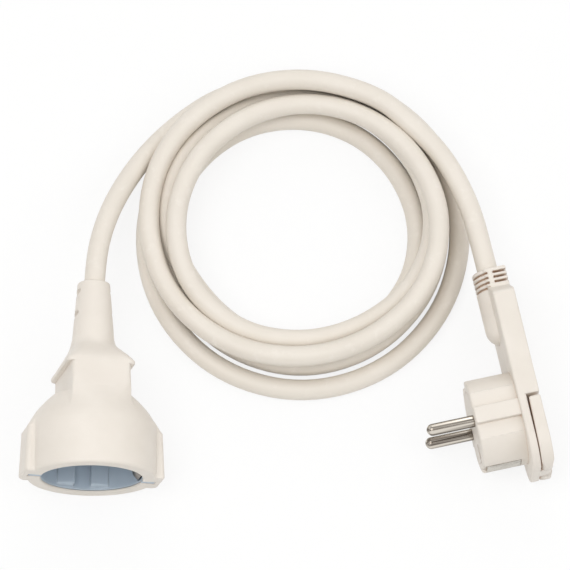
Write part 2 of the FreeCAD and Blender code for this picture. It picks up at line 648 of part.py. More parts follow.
def pull_lever():
    """The outer half of the plate behind the pins, hinged at the plate's far end."""
    inner = LEVER_FLOOR - LEVER_GAP
    hinge_x, level = hinge_place()
    free = NOTCH_X - NOTCH_GAP
    side = [
        V(hinge_x, -PLATE_THICKNESS, 0),
        V(free, -PLATE_THICKNESS, 0),
        V(free, inner - LEVER_TAPER, 0),
        V(free - LEVER_TAPER_LENGTH, inner, 0),
        V(hinge_x, inner, 0),
    ]
    slab = Part.Face(Part.makePolygon(side + side[:1])).extrude(V(0, 0, 2 * PLATE_HALF))
    slab.translate(V(0, 0, -PLATE_HALF))
    round_end = rod(level + PLATE_THICKNESS, V(hinge_x, level, -PLATE_HALF), V(hinge_x, level, PLATE_HALF))
    outline = Part.Face(plate_outline(-PLATE_THICKNESS)).extrude(V(0, PLATE_THICKNESS, 0))
    lever = slab.fuse(round_end).common(outline)
    slot_half = LUG_HALF + LUG_GAP
    slot_reach = hinge_x + LUG_R + LUG_GAP
    lever = lever.cut(box(-PLATE_FAR - 1, slot_reach, -PLATE_THICKNESS - 1, 1, -slot_half, slot_half))
    pin_hole = rod(HINGE_PIN_R, V(hinge_x, level, -PLATE_HALF - 1), V(hinge_x, level, HINGE_PIN_TIP))
    return lever.cut(pin_hole).removeSplitter()


def lever_hinge_pin():
    hinge_x, level = hinge_place()
    into_corner = PLATE_CORNER - (PLATE_FAR + hinge_x)
    edge = PLATE_HALF - PLATE_CORNER + math.sqrt(PLATE_CORNER**2 - into_corner**2)
    head = V(hinge_x, level, -edge + HINGE_PIN_SINK)
    return rod(HINGE_PIN_R, head, V(hinge_x, level, HINGE_PIN_TIP - FACE_GAP))


# ---- Cord: two leads and the coil, in the part's frame ----
def coupler_lead_points(sheath_end, straight_end):
    """From inside the coupler's boot, over the table and down on to the coil."""
    return [
        sheath_end,
        straight_end,
        V(-71.2, 64.5, 21.2),
        V(-63.2, 83.0, 14.6),
        V(-52.4, 99.6, 8.4),
        V(-38.8, 112.2, 6.6),
        V(-23.9, 120.6, 8.8),
    ]


def plug_lead_points(sheath_end, straight_end):
    """From inside the plug's boot to the top of the coil."""
    return [
        sheath_end,
        straight_end,
        V(73.6, 71.5, 19.2),
        V(63.4, 91.5, 19.8),
        V(51.5, 103.8, 20.3),
    ]


def cord_coil():
    """The outer shape of the coil: a ring with round edges."""
    centre = V(COIL_X, COIL_Y, 0)
    ring = Part.makeCylinder(COIL_OUTER_R, COIL_HEIGHT, centre)
    ring = ring.cut(Part.makeCylinder(COIL_INNER_R, COIL_HEIGHT, centre + V(0, COIL_INNER_SHIFT, 0)))
    rims = [e for e in ring.Edges if isinstance(e.Curve, Part.Circle)]
    return ring.makeFillet(COIL_EDGE, rims)


# ---- Put together ----
coupler_at = V(COUPLER_X, COUPLER_MOUTH_Y, CUP_R)
coupler_place = FreeCAD.Placement(coupler_at, FreeCAD.Rotation(Y_AXIS, COUPLER_ROLL))
plug_at = V(PLUG_X, PLUG_Y, PLATE_HALF)
plug_place = FreeCAD.Placement(plug_at, FreeCAD.Rotation(Z_AXIS, 90 + PLUG_YAW))

coupler_pieces = {
    "coupler_shell": coupler_shell(),
    "socket_insert": socket_insert(),
    "coupler_earth_clip": coupler_earth_clip(),
    "contact_carrier": contact_carrier(),
    "line_contact_sleeve": contact_sleeve(PIN_PITCH / 2),
    "neutral_contact_sleeve": contact_sleeve(-PIN_PITCH / 2),
}
coupler_pieces.update(coupler_crimps())
coupler_pieces.update(coupler_cores())

plug_pieces = {
    "plug_body": plug_body(),
    "pin_bridge": pin_bridge(),
    "line_pin": plug_pin(PIN_PITCH / 2),
    "neutral_pin": plug_pin(-PIN_PITCH / 2),
    "plug_earth_strip": plug_earth_strip(),
    "earth_pin_sleeve": earth_sleeve(),
    "pull_lever": pull_lever(),
    "lever_hinge_pin": lever_hinge_pin(),
}
plug_pieces.update(plug_crimps())
plug_pieces.update(plug_cores())

coupler_ends = [
    coupler_place.multVec(V(0, COUPLER_LENGTH - depth, 0))
    for depth in (SHEATH_IN_COUPLER - CORE_GAP, -LEAD_STRAIGHT)
]
plug_ends = [
    plug_place.multVec(V(HANDLE_LENGTH - depth, CABLE_LEVEL, 0))
    for depth in (SHEATH_IN_PLUG - CORE_GAP, -LEAD_STRAIGHT)
]
cord_pieces = {"cord_coil": cord_coil()}
leads = {
    "coupler_lead": coupler_lead_points(*coupler_ends),
    "plug_lead": plug_lead_points(*plug_ends),
}
for name, points in leads.items():
    tube, length, radii = bent_rod(points, CORD_R)
    cord_pieces[name] = tube
    share = tube.Volume / (math.pi * CORD_R**2 * length)
    print(name, "length", round(length, 1), "volume share", round(share, 4))
    print("  radii", [round(r, 1) for r in radii])

os.makedirs("parts", exist_ok=True)
for place, pieces in (
    (coupler_place, coupler_pieces),
    (plug_place, plug_pieces),
    (FreeCAD.Placement(), cord_pieces),
):
    for name, shape in pieces.items():
        placed = shape.copy()
        placed.Placement = place.multiply(placed.Placement)
        placed.exportStep("parts/" + name + ".step")
        volume = round(placed.Volume, 1)
        print(name, "solids", len(placed.Solids), "valid", placed.isValid(), "volume", volume)
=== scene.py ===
import math

import bpy
import numpy as np
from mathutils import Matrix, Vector


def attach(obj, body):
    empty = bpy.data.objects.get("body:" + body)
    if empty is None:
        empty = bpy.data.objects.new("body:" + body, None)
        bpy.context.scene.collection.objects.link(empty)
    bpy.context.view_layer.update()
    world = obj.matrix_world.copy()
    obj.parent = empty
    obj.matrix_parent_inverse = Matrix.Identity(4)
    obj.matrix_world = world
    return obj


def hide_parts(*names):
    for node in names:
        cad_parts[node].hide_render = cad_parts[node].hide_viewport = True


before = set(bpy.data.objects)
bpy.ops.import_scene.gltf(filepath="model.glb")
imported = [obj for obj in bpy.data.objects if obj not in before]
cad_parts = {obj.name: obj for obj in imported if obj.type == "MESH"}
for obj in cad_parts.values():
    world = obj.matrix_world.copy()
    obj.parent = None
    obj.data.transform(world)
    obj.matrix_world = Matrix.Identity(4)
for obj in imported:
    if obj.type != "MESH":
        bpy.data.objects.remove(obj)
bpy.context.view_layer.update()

scene = bpy.context.scene
scene.view_settings.view_transform = "Standard"

# ---- Camera ----
# A long lens about two metres off, a little in front of straight overhead, so that the coil
# reads almost as a plan and the coupler's mouth and the plug's face are just seen.
TILT = math.radians(17.5)
DISTANCE = 2.1
AIM = np.array([0.0001, 0.04357, 0.0])
camera_data = bpy.data.cameras.new("camera")
camera_data.lens = 331.6
camera_data.sensor_width = 36.0
camera = bpy.data.objects.new("camera", camera_data)
camera.location = AIM + DISTANCE * np.array([0.0, -math.sin(TILT), math.cos(TILT)])
camera.rotation_euler = (TILT, 0.0, 0.0)
scene.collection.objects.link(camera)
scene.camera = camera

# ---- Cord ----
# Two metres of three-core mains lead with a soft extruded PVC sheath 8.2 mm across. It leaves
# the coupler's boot, winds five loose turns clockwise, and comes off their top to the plug.
MM = 0.001
CORD_DIAMETER = 8.2 * MM
COUPLER_SIDE = [
    (-75.4, 22.1, 25.4),
    (-75.4, 43.5, 25.4),
    (-71.2, 64.5, 21.2),
    (-63.2, 82.8, 15.2),
    (-52.6, 98.8, 10.2),
    (-38.9, 111.4, 10.0),
    (-23.9, 119.8, 13.0),
]
PLUG_SIDE = [
    (51.5, 103.8, 20.3),
    (63.4, 91.5, 19.8),
    (73.6, 71.5, 19.2),
    (78.97, 49.86, 19.0),
    (83.60, 28.96, 19.0),
]
# Each row is a turn: how far the sheath's middle lies from the coil's centre, and how high
# above the table, at the clock's twelve hours. The last row only begins a turn, up to where
# the lead to the plug leaves the coil.
TURN_CENTRE = (6.9, 65.8)
TURN_RADII = [
    (60.0, 60.2, 62.4, 62.9, 64.5, 66.5, 67.4, 66.7, 64.7, 62.2, 60.1, 59.8),
    (60.3, 58.5, 55.6, 54.6, 55.4, 56.6, 57.3, 56.7, 55.9, 54.0, 50.8, 48.4),
    (46.1, 44.9, 44.5, 46.2, 48.0, 48.8, 49.0, 48.8, 49.4, 54.3, 54.5, 53.4),
    (53.0, 52.0, 51.5, 52.5, 51.5, 48.8, 48.8, 51.0, 52.0, 50.0, 47.8, 46.6),
    (48.8, 49.1, 51.1, 54.3, 56.7, 56.4, 57.0, 58.8, 60.5, 61.0, 61.7, 59.0),
    (57.2, 57.4),
]
TURN_HEIGHTS = [
    (13.0, 12.6, 9.6, 4.4, 4.2, 4.2, 4.2, 4.2, 4.2, 4.2, 4.2, 4.2),
    (4.2, 4.2, 4.2, 4.6, 7.6, 6.0, 4.2, 4.2, 4.2, 4.2, 4.2, 4.2),
    (4.2, 4.2, 4.2, 4.2, 4.2, 4.2, 4.2, 5.4, 10.4, 12.4, 12.8, 12.4),
    (8.7, 10.0, 11.5, 12.8, 15.2, 13.2, 12.4, 13.7, 17.8, 19.8, 21.1, 20.8),
    (16.0, 18.5, 20.0, 21.0, 21.6, 18.8, 17.4, 16.0, 15.0, 16.5, 16.0, 20.6),
    (21.0, 20.8),
]


def coil_points():
    """The spline's control points at each hour of each turn: the centre plus the radius times
    the hour's direction. A control point stands out past the line that it bends by the share
    that the cosine of one hour gives, so the radius is divided by that."""
    hour = math.tau / 12
    stands_out = 0.75 + 0.25 * math.cos(hour)
    radii = np.concatenate(TURN_RADII) / stands_out
    heights = np.concatenate(TURN_HEIGHTS)
    turned = hour * np.arange(len(radii))
    x = TURN_CENTRE[0] + radii * np.sin(turned)
    y = TURN_CENTRE[1] + radii * np.cos(turned)
    return np.stack([x, y, heights], axis=1)


route = MM * np.concatenate([COUPLER_SIDE, coil_points(), PLUG_SIDE])
cord_curve = bpy.data.curves.new("cord", "CURVE")
cord_curve.dimensions = "3D"
cord_curve.bevel_depth = CORD_DIAMETER / 2
cord_curve.bevel_resolution = 8
cord_curve.resolution_u = 8
cord_curve.use_fill_caps = True
spline = cord_curve.splines.new("NURBS")
spline.points.add(len(route) - 1)
spline.points.foreach_set("co", np.column_stack([route, np.ones(len(route))]).ravel())
spline.order_u = 3
spline.use_endpoint_u = True
cord = bpy.data.objects.new("cord", cord_curve)
scene.collection.objects.link(cord)


def linear(code):
    """An sRGB hex colour as linear light."""
    values = [int(code[i : i + 2], 16) / 255 for i in (1, 3, 5)]
    return [v / 12.92 if v <= 0.04045 else ((v + 0.055) / 1.055) ** 2.4 for v in values] + [1.0]


def add(tree, kind, inputs=None, **settings):
    """Adds one node. An input's value is a constant, or (node, output) to link it from there."""
    made = tree.nodes.new(kind)
    for name, value in settings.items():
        setattr(made, name, value)
    for socket, value in (inputs or {}).items():
        if isinstance(value, tuple) and hasattr(value[0], "outputs"):
            tree.links.new(value[0].outputs[value[1]], made.inputs[socket])
        else:
            made.inputs[socket].default_value = value
    return made


def bare_material(name):
    """A new material, and its tree with nothing in it."""
    material = bpy.data.materials.new(name)
    material.use_nodes = True
    material.node_tree.nodes.clear()
    return material, material.node_tree


# Soft PVC, drawn through a round die: an even satin skin with very fine lines along it, a
# slight cloudiness of the filler, and paler scuffs where the turns rub.
sheath, tree = bare_material("extruded_pvc_ivory")
place = add(tree, "ShaderNodeTexCoord")
cloud = add(tree, "ShaderNodeTexNoise", {"Vector": (place, "Object"), "Scale": 1000 / 22, "Detail": 3.0})
tone = add(
    tree,
    "ShaderNodeMix",
    {0: (cloud, "Fac"), 6: linear("#DAD2C6"), 7: linear("#E6DFD5")},
    data_type="RGBA",
)
scuff = add(
    tree,
    "ShaderNodeTexNoise",
    {"Vector": (place, "Object"), "Scale": 1000 / 5, "Detail": 5.0, "Roughness": 0.65},
)
scuff_area = add(
    tree,
    "ShaderNodeMapRange",
    {"Value": (scuff, "Fac"), "From Min": 0.56, "From Max": 0.72, "To Max": 0.35},
)
rubbed = add(
    tree,
    "ShaderNodeMix",
    {0: (scuff_area, "Result"), 6: (tone, 2), 7: linear("#EFE9E1")},
    data_type="RGBA",
)
gloss = add(
    tree,
    "ShaderNodeMapRange",
    {"Value": (scuff, "Fac"), "From Min": 0.3, "From Max": 0.7, "To Min": 0.42, "To Max": 0.58},
)
lengthwise = add(tree, "ShaderNodeMapping", {"Vector": (place, "UV"), "Scale": (14.0, 40.0, 1.0)})
die_lines = add(
    tree,
    "ShaderNodeTexNoise",
    {"Vector": (lengthwise, "Vector"), "Scale": 1.0, "Detail": 2.0},
)
grain = add(
    tree,
    "ShaderNodeTexNoise",
    {"Vector": (place, "Object"), "Scale": 1000 / 0.7, "Detail": 2.0},
)
relief = add(tree, "ShaderNodeMath", {0: (die_lines, "Fac"), 1: (grain, "Fac")}, operation="ADD")
bump = add(
    tree,
    "ShaderNodeBump",
    {"Height": (relief, "Value"), "Strength": 0.25, "Distance": 0.05 * MM},
)
skin = add(
    tree,
    "ShaderNodeBsdfPrincipled",
    {
        "Base Color": (rubbed, 2),
        "Roughness": (gloss, "Result"),
        "Normal": (bump, "Normal"),
        "IOR": 1.52,
    },
)
add(tree, "ShaderNodeOutputMaterial", {"Surface": (skin, "BSDF")})
cord_curve.materials.append(sheath)

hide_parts("cord_coil", "coupler_lead", "plug_lead")
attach(cord, "cord_set")

# ---- Coupler shell ----
# The in-line socket's housing: soft ivory PVC moulded straight over the contacts and the cord's
# end. A round cup with a grip ear at each side, a waist and hood, then a tapered boot with
# bending notches. Sizes in mm along its axis, y, from the mouth; x lies across the ears.
COUPLER_AT = np.array([-75.4, -44.0, 25.4])
COUPLER_ROLL = math.radians(14.0)
COUPLER_AXES = np.array(
    [
        [math.cos(COUPLER_ROLL), 0.0, -math.sin(COUPLER_ROLL)],
        [0.0, 1.0, 0.0],
        [math.sin(COUPLER_ROLL), 0.0, math.cos(COUPLER_ROLL)],
    ]
)
SHELL_LENGTH = 80.0
CUP_R = 25.4
SHOULDER_START = 19.5        # the cup's wall turns in towards the waist here
SHOULDER_DROP, SHOULDER_DEPTH = 9.0, 13.0
WAIST_END = 32.6             # the shoulder drops onto the waist's sides here
EAR_REACH, EAR_HALF, EAR_CORNER, EAR_END = 27.9, 7.6, 1.8, 23.0
EAR_DRAFT = 0.05             # the ear's outer face leans in this much per mm
EAR_SLANT, EAR_SLANT_START = 3.4, 18.4
WAIST_X, WAIST_Z, WAIST_CORNER = 11.7, 17.5, 1.6
# The waist swells towards the cup.
CROWN_RISE, CROWN_LENGTH, CROWN_END, CROWN_LIMIT = 3.2, 14.0, 42.0, 21.3
LIP_START, LIP_END = 43.0, 44.3
HOOD_X, HOOD_BACK, HOOD_CORNER, HOOD_END = 13.6, 8.0, 2.4, 55.5
BOOT_BASE_R, BOOT_TIP_R = 8.4, 6.4
NOTCH_MIDDLES = (66.5, 75.5)
NOTCH_FLOOR = 5.3
SEAT_R, SEAT_END = 21.45, 22.0
MOUTH_R = 19.95              # the front lip covers the liner's rim
SLIT_HALF, SLIT_DEPTH, SLIT_REACH = 1.5, 2.5, 24.4


def rounded(half_a, half_b, corner, angle):
    """How far a rounded rectangle's outline lies from its middle in each direction: as far as
    the nearer flat side, or where the ray meets a corner's circle, as far as that circle."""
    along_a = np.maximum(np.abs(np.cos(angle)), 1e-6)
    along_b = np.maximum(np.abs(np.sin(angle)), 1e-6)
    flat = np.minimum(half_a / along_a, half_b / along_b)
    inner_a, inner_b = half_a - corner, half_b - corner
    across = along_a * inner_a + along_b * inner_b
    under_root = across**2 - inner_a**2 - inner_b**2 + corner**2
    arc = across + np.sqrt(np.maximum(under_root, 0.0))
    in_corner = (flat * along_a > inner_a) & (flat * along_b > inner_b)
    return np.where(in_corner, arc, flat)


def blended(a, b, fillet):
    """The larger of two reaches, and where they are within the fillet of each other, more by
    the square of how near they are, which fills the seam between them."""
    near = np.maximum(fillet - np.abs(a - b), 0.0) / fillet
    return np.maximum(a, b) + near**2 * fillet / 4


def worn_round(distance, radius):
    """How much an edge's rounding takes away this far from the edge: the radius less the
    height of a quarter circle."""
    inside = np.clip(radius - distance, 0.0, radius)
    return radius - np.sqrt(radius**2 - inside**2)


def eased(value, low, high):
    """0 below low, 1 above high, and between them the smooth step 3t^2 - 2t^3."""
    t = np.clip((value - low) / (high - low), 0.0, 1.0)
    return t * t * (3.0 - 2.0 * t)


def crowded(start, end, count, marks):
    """Places from start to end, closer together near each mark (place, weight, width): equal
    steps of the running total of one plus each mark's bell curve."""
    fine = np.linspace(start, end, 4001)
    density = 1.0 + sum(w * np.exp(-(((fine - m) / s) ** 2)) for m, w, s in marks)
    total = np.concatenate([[0.0], np.cumsum((density[1:] + density[:-1]) / 2)])
    return np.interp(np.linspace(0.0, total[-1], count), total, fine)


def shell_reach(angle, y):
    """The shell's outer reach from its axis in a direction at a depth: the cup's circle, which
    shrinks past its shoulder by a power of the depth, joined with the ears, the waist, the
    hood and the tapered boot."""
    past = np.maximum(y - SHOULDER_START, 0.0) / SHOULDER_DEPTH
    cup = CUP_R - SHOULDER_DROP * past**1.55 - 5.0 * np.maximum(y - WAIST_END, 0.0)
    along_slant = np.clip((y - EAR_SLANT_START) / (EAR_END - EAR_SLANT_START), 0.0, 1.0)
    ear_x = EAR_REACH - EAR_DRAFT * y - EAR_SLANT * along_slant
    ears = np.where(y <= EAR_END, rounded(ear_x, EAR_HALF, EAR_CORNER, angle), 0.0)
    up_crown = np.clip(CROWN_END - y, 0.0, CROWN_LENGTH) / CROWN_LENGTH
    crown = WAIST_Z + CROWN_RISE * up_crown**1.6
    waist = np.minimum(rounded(WAIST_X, crown, WAIST_CORNER, angle), CROWN_LIMIT)
    waist = np.where(y < LIP_END, waist, 0.0)
    rise = np.clip((HOOD_END - y) / (HOOD_END - LIP_END), 0.0, 1.0)
    sloped = HOOD_BACK + (HOOD_X - HOOD_BACK) * rise**1.3
    hood_x = np.where(y < LIP_END, HOOD_X - worn_round(y - LIP_START, 0.5), sloped)
    hood_z = HOOD_BACK + (WAIST_Z - HOOD_BACK) * eased(HOOD_END + 1.0 - y, 0.0, 12.5)
    hood = rounded(hood_x, hood_z, HOOD_CORNER + 5.5 * (1.0 - rise), angle)
    hood = hood - 1.5 * np.maximum(y - HOOD_END, 0.0)
    hood = np.where(y < LIP_START, 0.0, hood)
    boot = BOOT_TIP_R + (BOOT_BASE_R - BOOT_TIP_R) * (SHELL_LENGTH - y) / (SHELL_LENGTH - HOOD_END)
    boot = np.where(y > 48.0, boot, 0.0)
    soft = 1.2 + 3.2 * np.abs(np.sin(angle)) ** 4
    reach = blended(blended(np.maximum(cup, 1.0), waist, soft), ears, 1.4)
    reach = blended(np.maximum(reach, hood), boot, 1.6)
    across = reach * np.sin(angle)
    for middle in NOTCH_MIDDLES:
        oval = ((y - middle - 0.22 * across) / 1.15) ** 2 + (across / 3.1) ** 2
        depth = 1.0 - eased(oval, 0.75, 1.15)
        floor = NOTCH_FLOOR / np.maximum(np.abs(np.cos(angle)), 0.3)
        reach = reach - depth * np.maximum(reach - floor, 0.0)
    reach = reach - worn_round(y, 1.2)
    return reach - worn_round(SHELL_LENGTH - y, 0.8)


def polar(reach, y, angle):
    """Rings of points round the y axis: x is the reach times the cosine, z the sine."""
    reach, y, angle = np.broadcast_arrays(reach, y, angle)
    return np.stack([reach * np.cos(angle), y, reach * np.sin(angle)], axis=-1)


def surface(name, grid, closed=False):
    """A mesh from rings of points: each point is joined to its neighbours in the ring and in the
    next ring by a quad. The last ring joins the first when closed, otherwise a fan of triangles
    to the ring's middle shuts each end. If the enclosed volume is negative the faces turn."""
    rows, columns = grid.shape[:2]
    points = grid.reshape(-1, 3)
    first = columns * np.arange(rows if closed else rows - 1)[:, None]
    here = np.arange(columns)[None, :]
    ahead = (here + 1) % columns
    above = (first + columns) % (rows * columns)
    quads = np.stack([first + here, first + ahead, above + ahead, above + here], axis=-1).reshape(-1, 4)
    faces = quads.tolist()
    if not closed:
        low = np.full(columns, len(points))
        last = columns * (rows - 1)
        faces += np.stack([low, ahead[0], here[0]], axis=-1).tolist()
        faces += np.stack([low + 1, last + here[0], last + ahead[0]], axis=-1).tolist()
        points = np.vstack([points, grid[0].mean(axis=0), grid[-1].mean(axis=0)])
    a, b, c, d = (points[quads[:, i]] for i in range(4))
    if np.sum(np.cross(b - a, c - a) * a) + np.sum(np.cross(c - a, d - a) * a) < 0:
        faces = [face[::-1] for face in faces]
    mesh = bpy.data.meshes.new(name)
    mesh.from_pydata(points.tolist(), [], faces)
    mesh.polygons.foreach_set("use_smooth", np.ones(len(faces), dtype=bool))
    mesh.set_sharp_from_angle(angle=math.radians(38.0))
    piece = bpy.data.objects.new(name, mesh)
    scene.collection.objects.link(piece)
    return piece


def in_coupler(points):
    """Points of the coupler's own frame, in mm, as metres where the coupler lies."""
    return MM * (COUPLER_AT + points @ COUPLER_AXES)


QUARTERS = (0.0, math.pi, math.tau)
ear_marks = [(q + side * 0.285, 9.0, 0.035) for q in QUARTERS for side in (-1, 1)]
slit_marks = [(q, 9.0, 0.08) for q in QUARTERS]
notch_marks = [(q + side * 0.45, 3.0, 0.06) for q in QUARTERS for side in (-1, 1)]
corner_marks = [(q + side * 0.981, 4.0, 0.05) for q in QUARTERS for side in (-1, 1)]
angle = crowded(0.0, math.tau, 321, ear_marks + slit_marks + notch_marks + corner_marks)[:-1]
edge_marks = [(0.3, 18.0, 0.8), (18.4, 5.0, 0.6), (22.9, 9.0, 0.3), (32.8, 3.0, 1.5)]
edge_marks += [(43.2, 20.0, 0.5), (44.3, 10.0, 0.4)]
notch_edges = [(m, 5.0, 1.6) for m in NOTCH_MIDDLES]
depth = crowded(SHELL_LENGTH, 0.0, 205, edge_marks + notch_edges + [(79.6, 14.0, 0.5)])[:, None]
outside = polar(shell_reach(angle, depth), depth, angle)

slot_side = np.abs(np.sin(angle)) * SEAT_R < 4.6
slit = 1.0 - eased(np.abs(np.sin(angle)) * 23.5, SLIT_HALF - 0.12, SLIT_HALF + 0.12)
rim = shell_reach(angle, 0.0)
share = np.array([0.08, 0.16, 0.2, 0.4, 0.6, 0.8, 1.0])[:, None]
ring_reach = rim + (MOUTH_R + 0.7 - rim) * share
ring_depth = SLIT_DEPTH * slit * (ring_reach < SLIT_REACH)
ring = polar(ring_reach, ring_depth, angle)
wall_depth = np.array([0.06, 0.2, 0.5, 0.9, 0.97, 1.3, 2.6, 6.0, 12.0, 20.0, 20.6, SEAT_END])[:, None]
in_slot = slot_side & (wall_depth > 1.6) & (wall_depth < 20.3)
wall_reach = np.where(in_slot, 23.2 / np.maximum(np.abs(np.cos(angle)), 0.3), SEAT_R)
wall_reach = np.where(wall_depth < 0.95, MOUTH_R + worn_round(wall_depth, 0.7), wall_reach)
wall = polar(wall_reach, np.maximum(wall_depth, SLIT_DEPTH * slit * (wall_depth < 1.0)), angle)
room = rounded(9.6, 14.6, 0.5, angle)
hollow = [polar(SEAT_R + (room - SEAT_R) * s, SEAT_END, angle) for s in (0.5, 1.0)]
hollow += [polar(room, y, angle) for y in (32.0, 43.9)]
hollow += [polar(rounded(5.0, 14.2, 0.5, angle), 43.9, angle)]
hollow += [polar(rounded(4.4, 4.4, 0.5, angle), 57.3, angle)]
hollow += [polar(4.2 + 0.0 * angle, y, angle) for y in (57.4, 70.0, 79.5)]
mouth = polar(np.array([[4.3], [4.7], [5.2]]) + 0.0 * angle, np.array([[79.8], [80.0], [80.0]]), angle)
profile = np.concatenate([outside, ring, wall, np.stack(hollow), mouth])
coupler_shell = surface("coupler_shell_moulding", in_coupler(profile), closed=True)


# Ivory PVC from a spark-eroded mould: a fine even matt with a faint cloudiness, edges that handling has
# polished a little paler, and a painted warm shade, a darker brown laid into the colour wherever ambient
# occlusion finds a deep groove or corner.
def moulded_plastic(name, shade, tone, edge, painted_crevice_shade, roughness, grit):
    """The finish of a moulded piece, from its darker and lighter tone, the colour of its worn edges, the
    colour of the painted shade laid into its deep corners, how rough it is, and the mould's grit in mm."""
    material, tree = bare_material(name)
    place = add(tree, "ShaderNodeTexCoord")
    cloud = add(
        tree,
        "ShaderNodeTexNoise",
        {"Vector": (place, "Object"), "Scale": 1000 / 17, "Detail": 4.0, "Roughness": 0.55},
    )
    clouded = add(
        tree,
        "ShaderNodeMix",
        {0: (cloud, "Fac"), 6: linear(shade), 7: linear(tone)},
        data_type="RGBA",
    )
    rounding = add(tree, "ShaderNodeBevel", {"Radius": 0.7 * MM}, samples=4)
    flat = add(tree, "ShaderNodeNewGeometry")
    alike = add(
        tree,
        "ShaderNodeVectorMath",
        {0: (rounding, "Normal"), 1: (flat, "Normal")},
        operation="DOT_PRODUCT",
    )
    rubbing = add(
        tree,
        "ShaderNodeTexNoise",
        {"Vector": (place, "Object"), "Scale": 1000 / 3.5, "Detail": 4.0, "Roughness": 0.7},
    )
    edge_share = add(
        tree,
        "ShaderNodeMapRange",
        {"Value": (alike, "Value"), "From Min": 0.985, "From Max": 0.86, "To Max": 0.9},
    )
    wear = add(
        tree,
        "ShaderNodeMath",
        {0: (edge_share, "Result"), 1: (rubbing, "Fac")},
        operation="MULTIPLY",
    )
    worn = add(
        tree,
        "ShaderNodeMix",
        {0: (wear, "Value"), 6: (clouded, 2), 7: linear(edge)},
        data_type="RGBA",
    )
    # Painted shade: ambient occlusion within 1.6 mm marks the sheltered grooves and corners, and the
    # colour there is mixed up to 85 % towards the darker crevice colour.
    shelter = add(tree, "ShaderNodeAmbientOcclusion", {"Distance": 1.6 * MM}, samples=6)
    depth = add(
        tree,
        "ShaderNodeMapRange",
        {"Value": (shelter, "AO"), "From Min": 0.55, "From Max": 0.15, "To Max": 0.85},
    )
    crevice_shaded = add(
        tree,
        "ShaderNodeMix",
        {0: (depth, "Result"), 6: (worn, 2), 7: linear(painted_crevice_shade)},
        data_type="RGBA",
    )
    gloss = add(
        tree,
        "ShaderNodeMapRange",
        {
            "Value": (rubbing, "Fac"),
            "From Min": 0.3,
            "From Max": 0.7,
            "To Min": roughness - 0.06,
            "To Max": roughness + 0.07,
        },
    )
    erosion = add(
        tree,
        "ShaderNodeTexNoise",
        {"Vector": (place, "Object"), "Scale": 1000 / grit, "Detail": 3.0, "Roughness": 0.6},
    )
    bump = add(
        tree,
        "ShaderNodeBump",
        {
            "Height": (erosion, "Fac"),
            "Normal": (rounding, "Normal"),
            "Strength": 0.3,
            "Distance": 0.06 * MM,
        },
    )
    skin = add(
        tree,
        "ShaderNodeBsdfPrincipled",
        {
            "Base Color": (crevice_shaded, 2),
            "Roughness": (gloss, "Result"),
            "Normal": (bump, "Normal"),
            "IOR": 1.5,
        },
    )
    add(tree, "ShaderNodeOutputMaterial", {"Surface": (skin, "BSDF")})
    return material


# The fifth colour, #B98A5E, is the painted warm shade laid into the ivory's deep grooves.
ivory = moulded_plastic("moulded_pvc_ivory", "#DBD3C8", "#E8E1D8", "#F2ECE4", "#B98A5E", 0.46, 0.5)
coupler_shell.data.materials.append(ivory)
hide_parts("coupler_shell")
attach(coupler_shell, "cord_set")

# ---- Socket liner ----
# The hard cup inside the coupler's mouth, moulded in blue-grey polyamide and clipped in from
# the front. Four ribs guide the plug, and its floor has the two pin holes.
LINER_R, LINER_WALL_R, LINER_FRONT, LINER_FLOOR, LINER_BACK = 19.75, 21.42, 1.0, 18.1, 21.9
RIB_INNER, RIB_OUTER, RIB_LEVEL, RIB_FRONT = 3.3, 10.1, 16.4, 2.2
PIN_HOLE_R, PIN_OFFSET = 2.7, 9.5


def liner_reach(angle, y):
    """The recess's wall: its circle, except where a rib stands in it, whose face is a plane at
    the rib's level and whose side is a plane at the rib's inner edge. The rib's front end
    rises from the wall as a quarter circle."""
    along_x = np.maximum(np.abs(np.cos(angle)), 1e-3)
    along_z = np.maximum(np.abs(np.sin(angle)), 1e-3)
    rib = np.maximum(RIB_LEVEL / along_z, RIB_INNER / along_x)
    in_rib = RIB_LEVEL * along_x / along_z < RIB_OUTER
    rib = np.where(in_rib, np.minimum(rib, LINER_R), LINER_R)
    raised = np.sqrt(1.0 - (1.0 - np.clip((y - RIB_FRONT) / 0.9, 0.0, 1.0)) ** 2)
    return LINER_R - (LINER_R - rib) * raised


rib_edges = [side * a for side in (-1, 1) for a in (0.18, 0.55)]
rib_marks = [(q * math.pi / 2 + edge, 12.0, 0.02) for q in (1, 3) for edge in rib_edges]
angle = crowded(0.0, math.tau, 385, rib_marks)[:-1]
depth = crowded(LINER_FRONT + 0.3, LINER_FLOOR, 60, [(RIB_FRONT + 0.3, 12.0, 0.7)])[:, None]
recess = polar(liner_reach(angle, depth), depth, angle)
floor_shares = np.array([0.9, 0.6, 0.3, 0.02])[:, None]
floor_rings = polar(liner_reach(angle, LINER_FLOOR) * floor_shares, LINER_FLOOR, angle)
outer_wall = np.array(
    [
        [0.02, LINER_BACK],
        [12.0, LINER_BACK],
        [LINER_WALL_R, LINER_BACK],
        [LINER_WALL_R, 12.0],
        [LINER_WALL_R, LINER_FRONT + 0.4],
        [LINER_WALL_R - 0.12, LINER_FRONT + 0.12],
        [LINER_WALL_R - 0.4, LINER_FRONT],
        [LINER_R + 0.4, LINER_FRONT],
        [LINER_R + 0.1, LINER_FRONT + 0.1],
    ]
)[:, :, None]
back = polar(outer_wall[:, 0] + 0.0 * angle, outer_wall[:, 1], angle)
liner = surface("socket_liner", in_coupler(np.concatenate([back, recess, floor_rings])))


def cut_away(piece, cutters):
    """Takes the cutters' volume out of the piece, and deletes them."""
    for cutter in cutters:
        cut = piece.modifiers.new("cut", "BOOLEAN")
        cut.object = cutter
        cut.operation = "DIFFERENCE"
        cut.solver = "EXACT"
        shown = piece.evaluated_get(bpy.context.evaluated_depsgraph_get())
        piece.data = bpy.data.meshes.new_from_object(shown)
        piece.modifiers.clear()
        bpy.data.objects.remove(cutter)


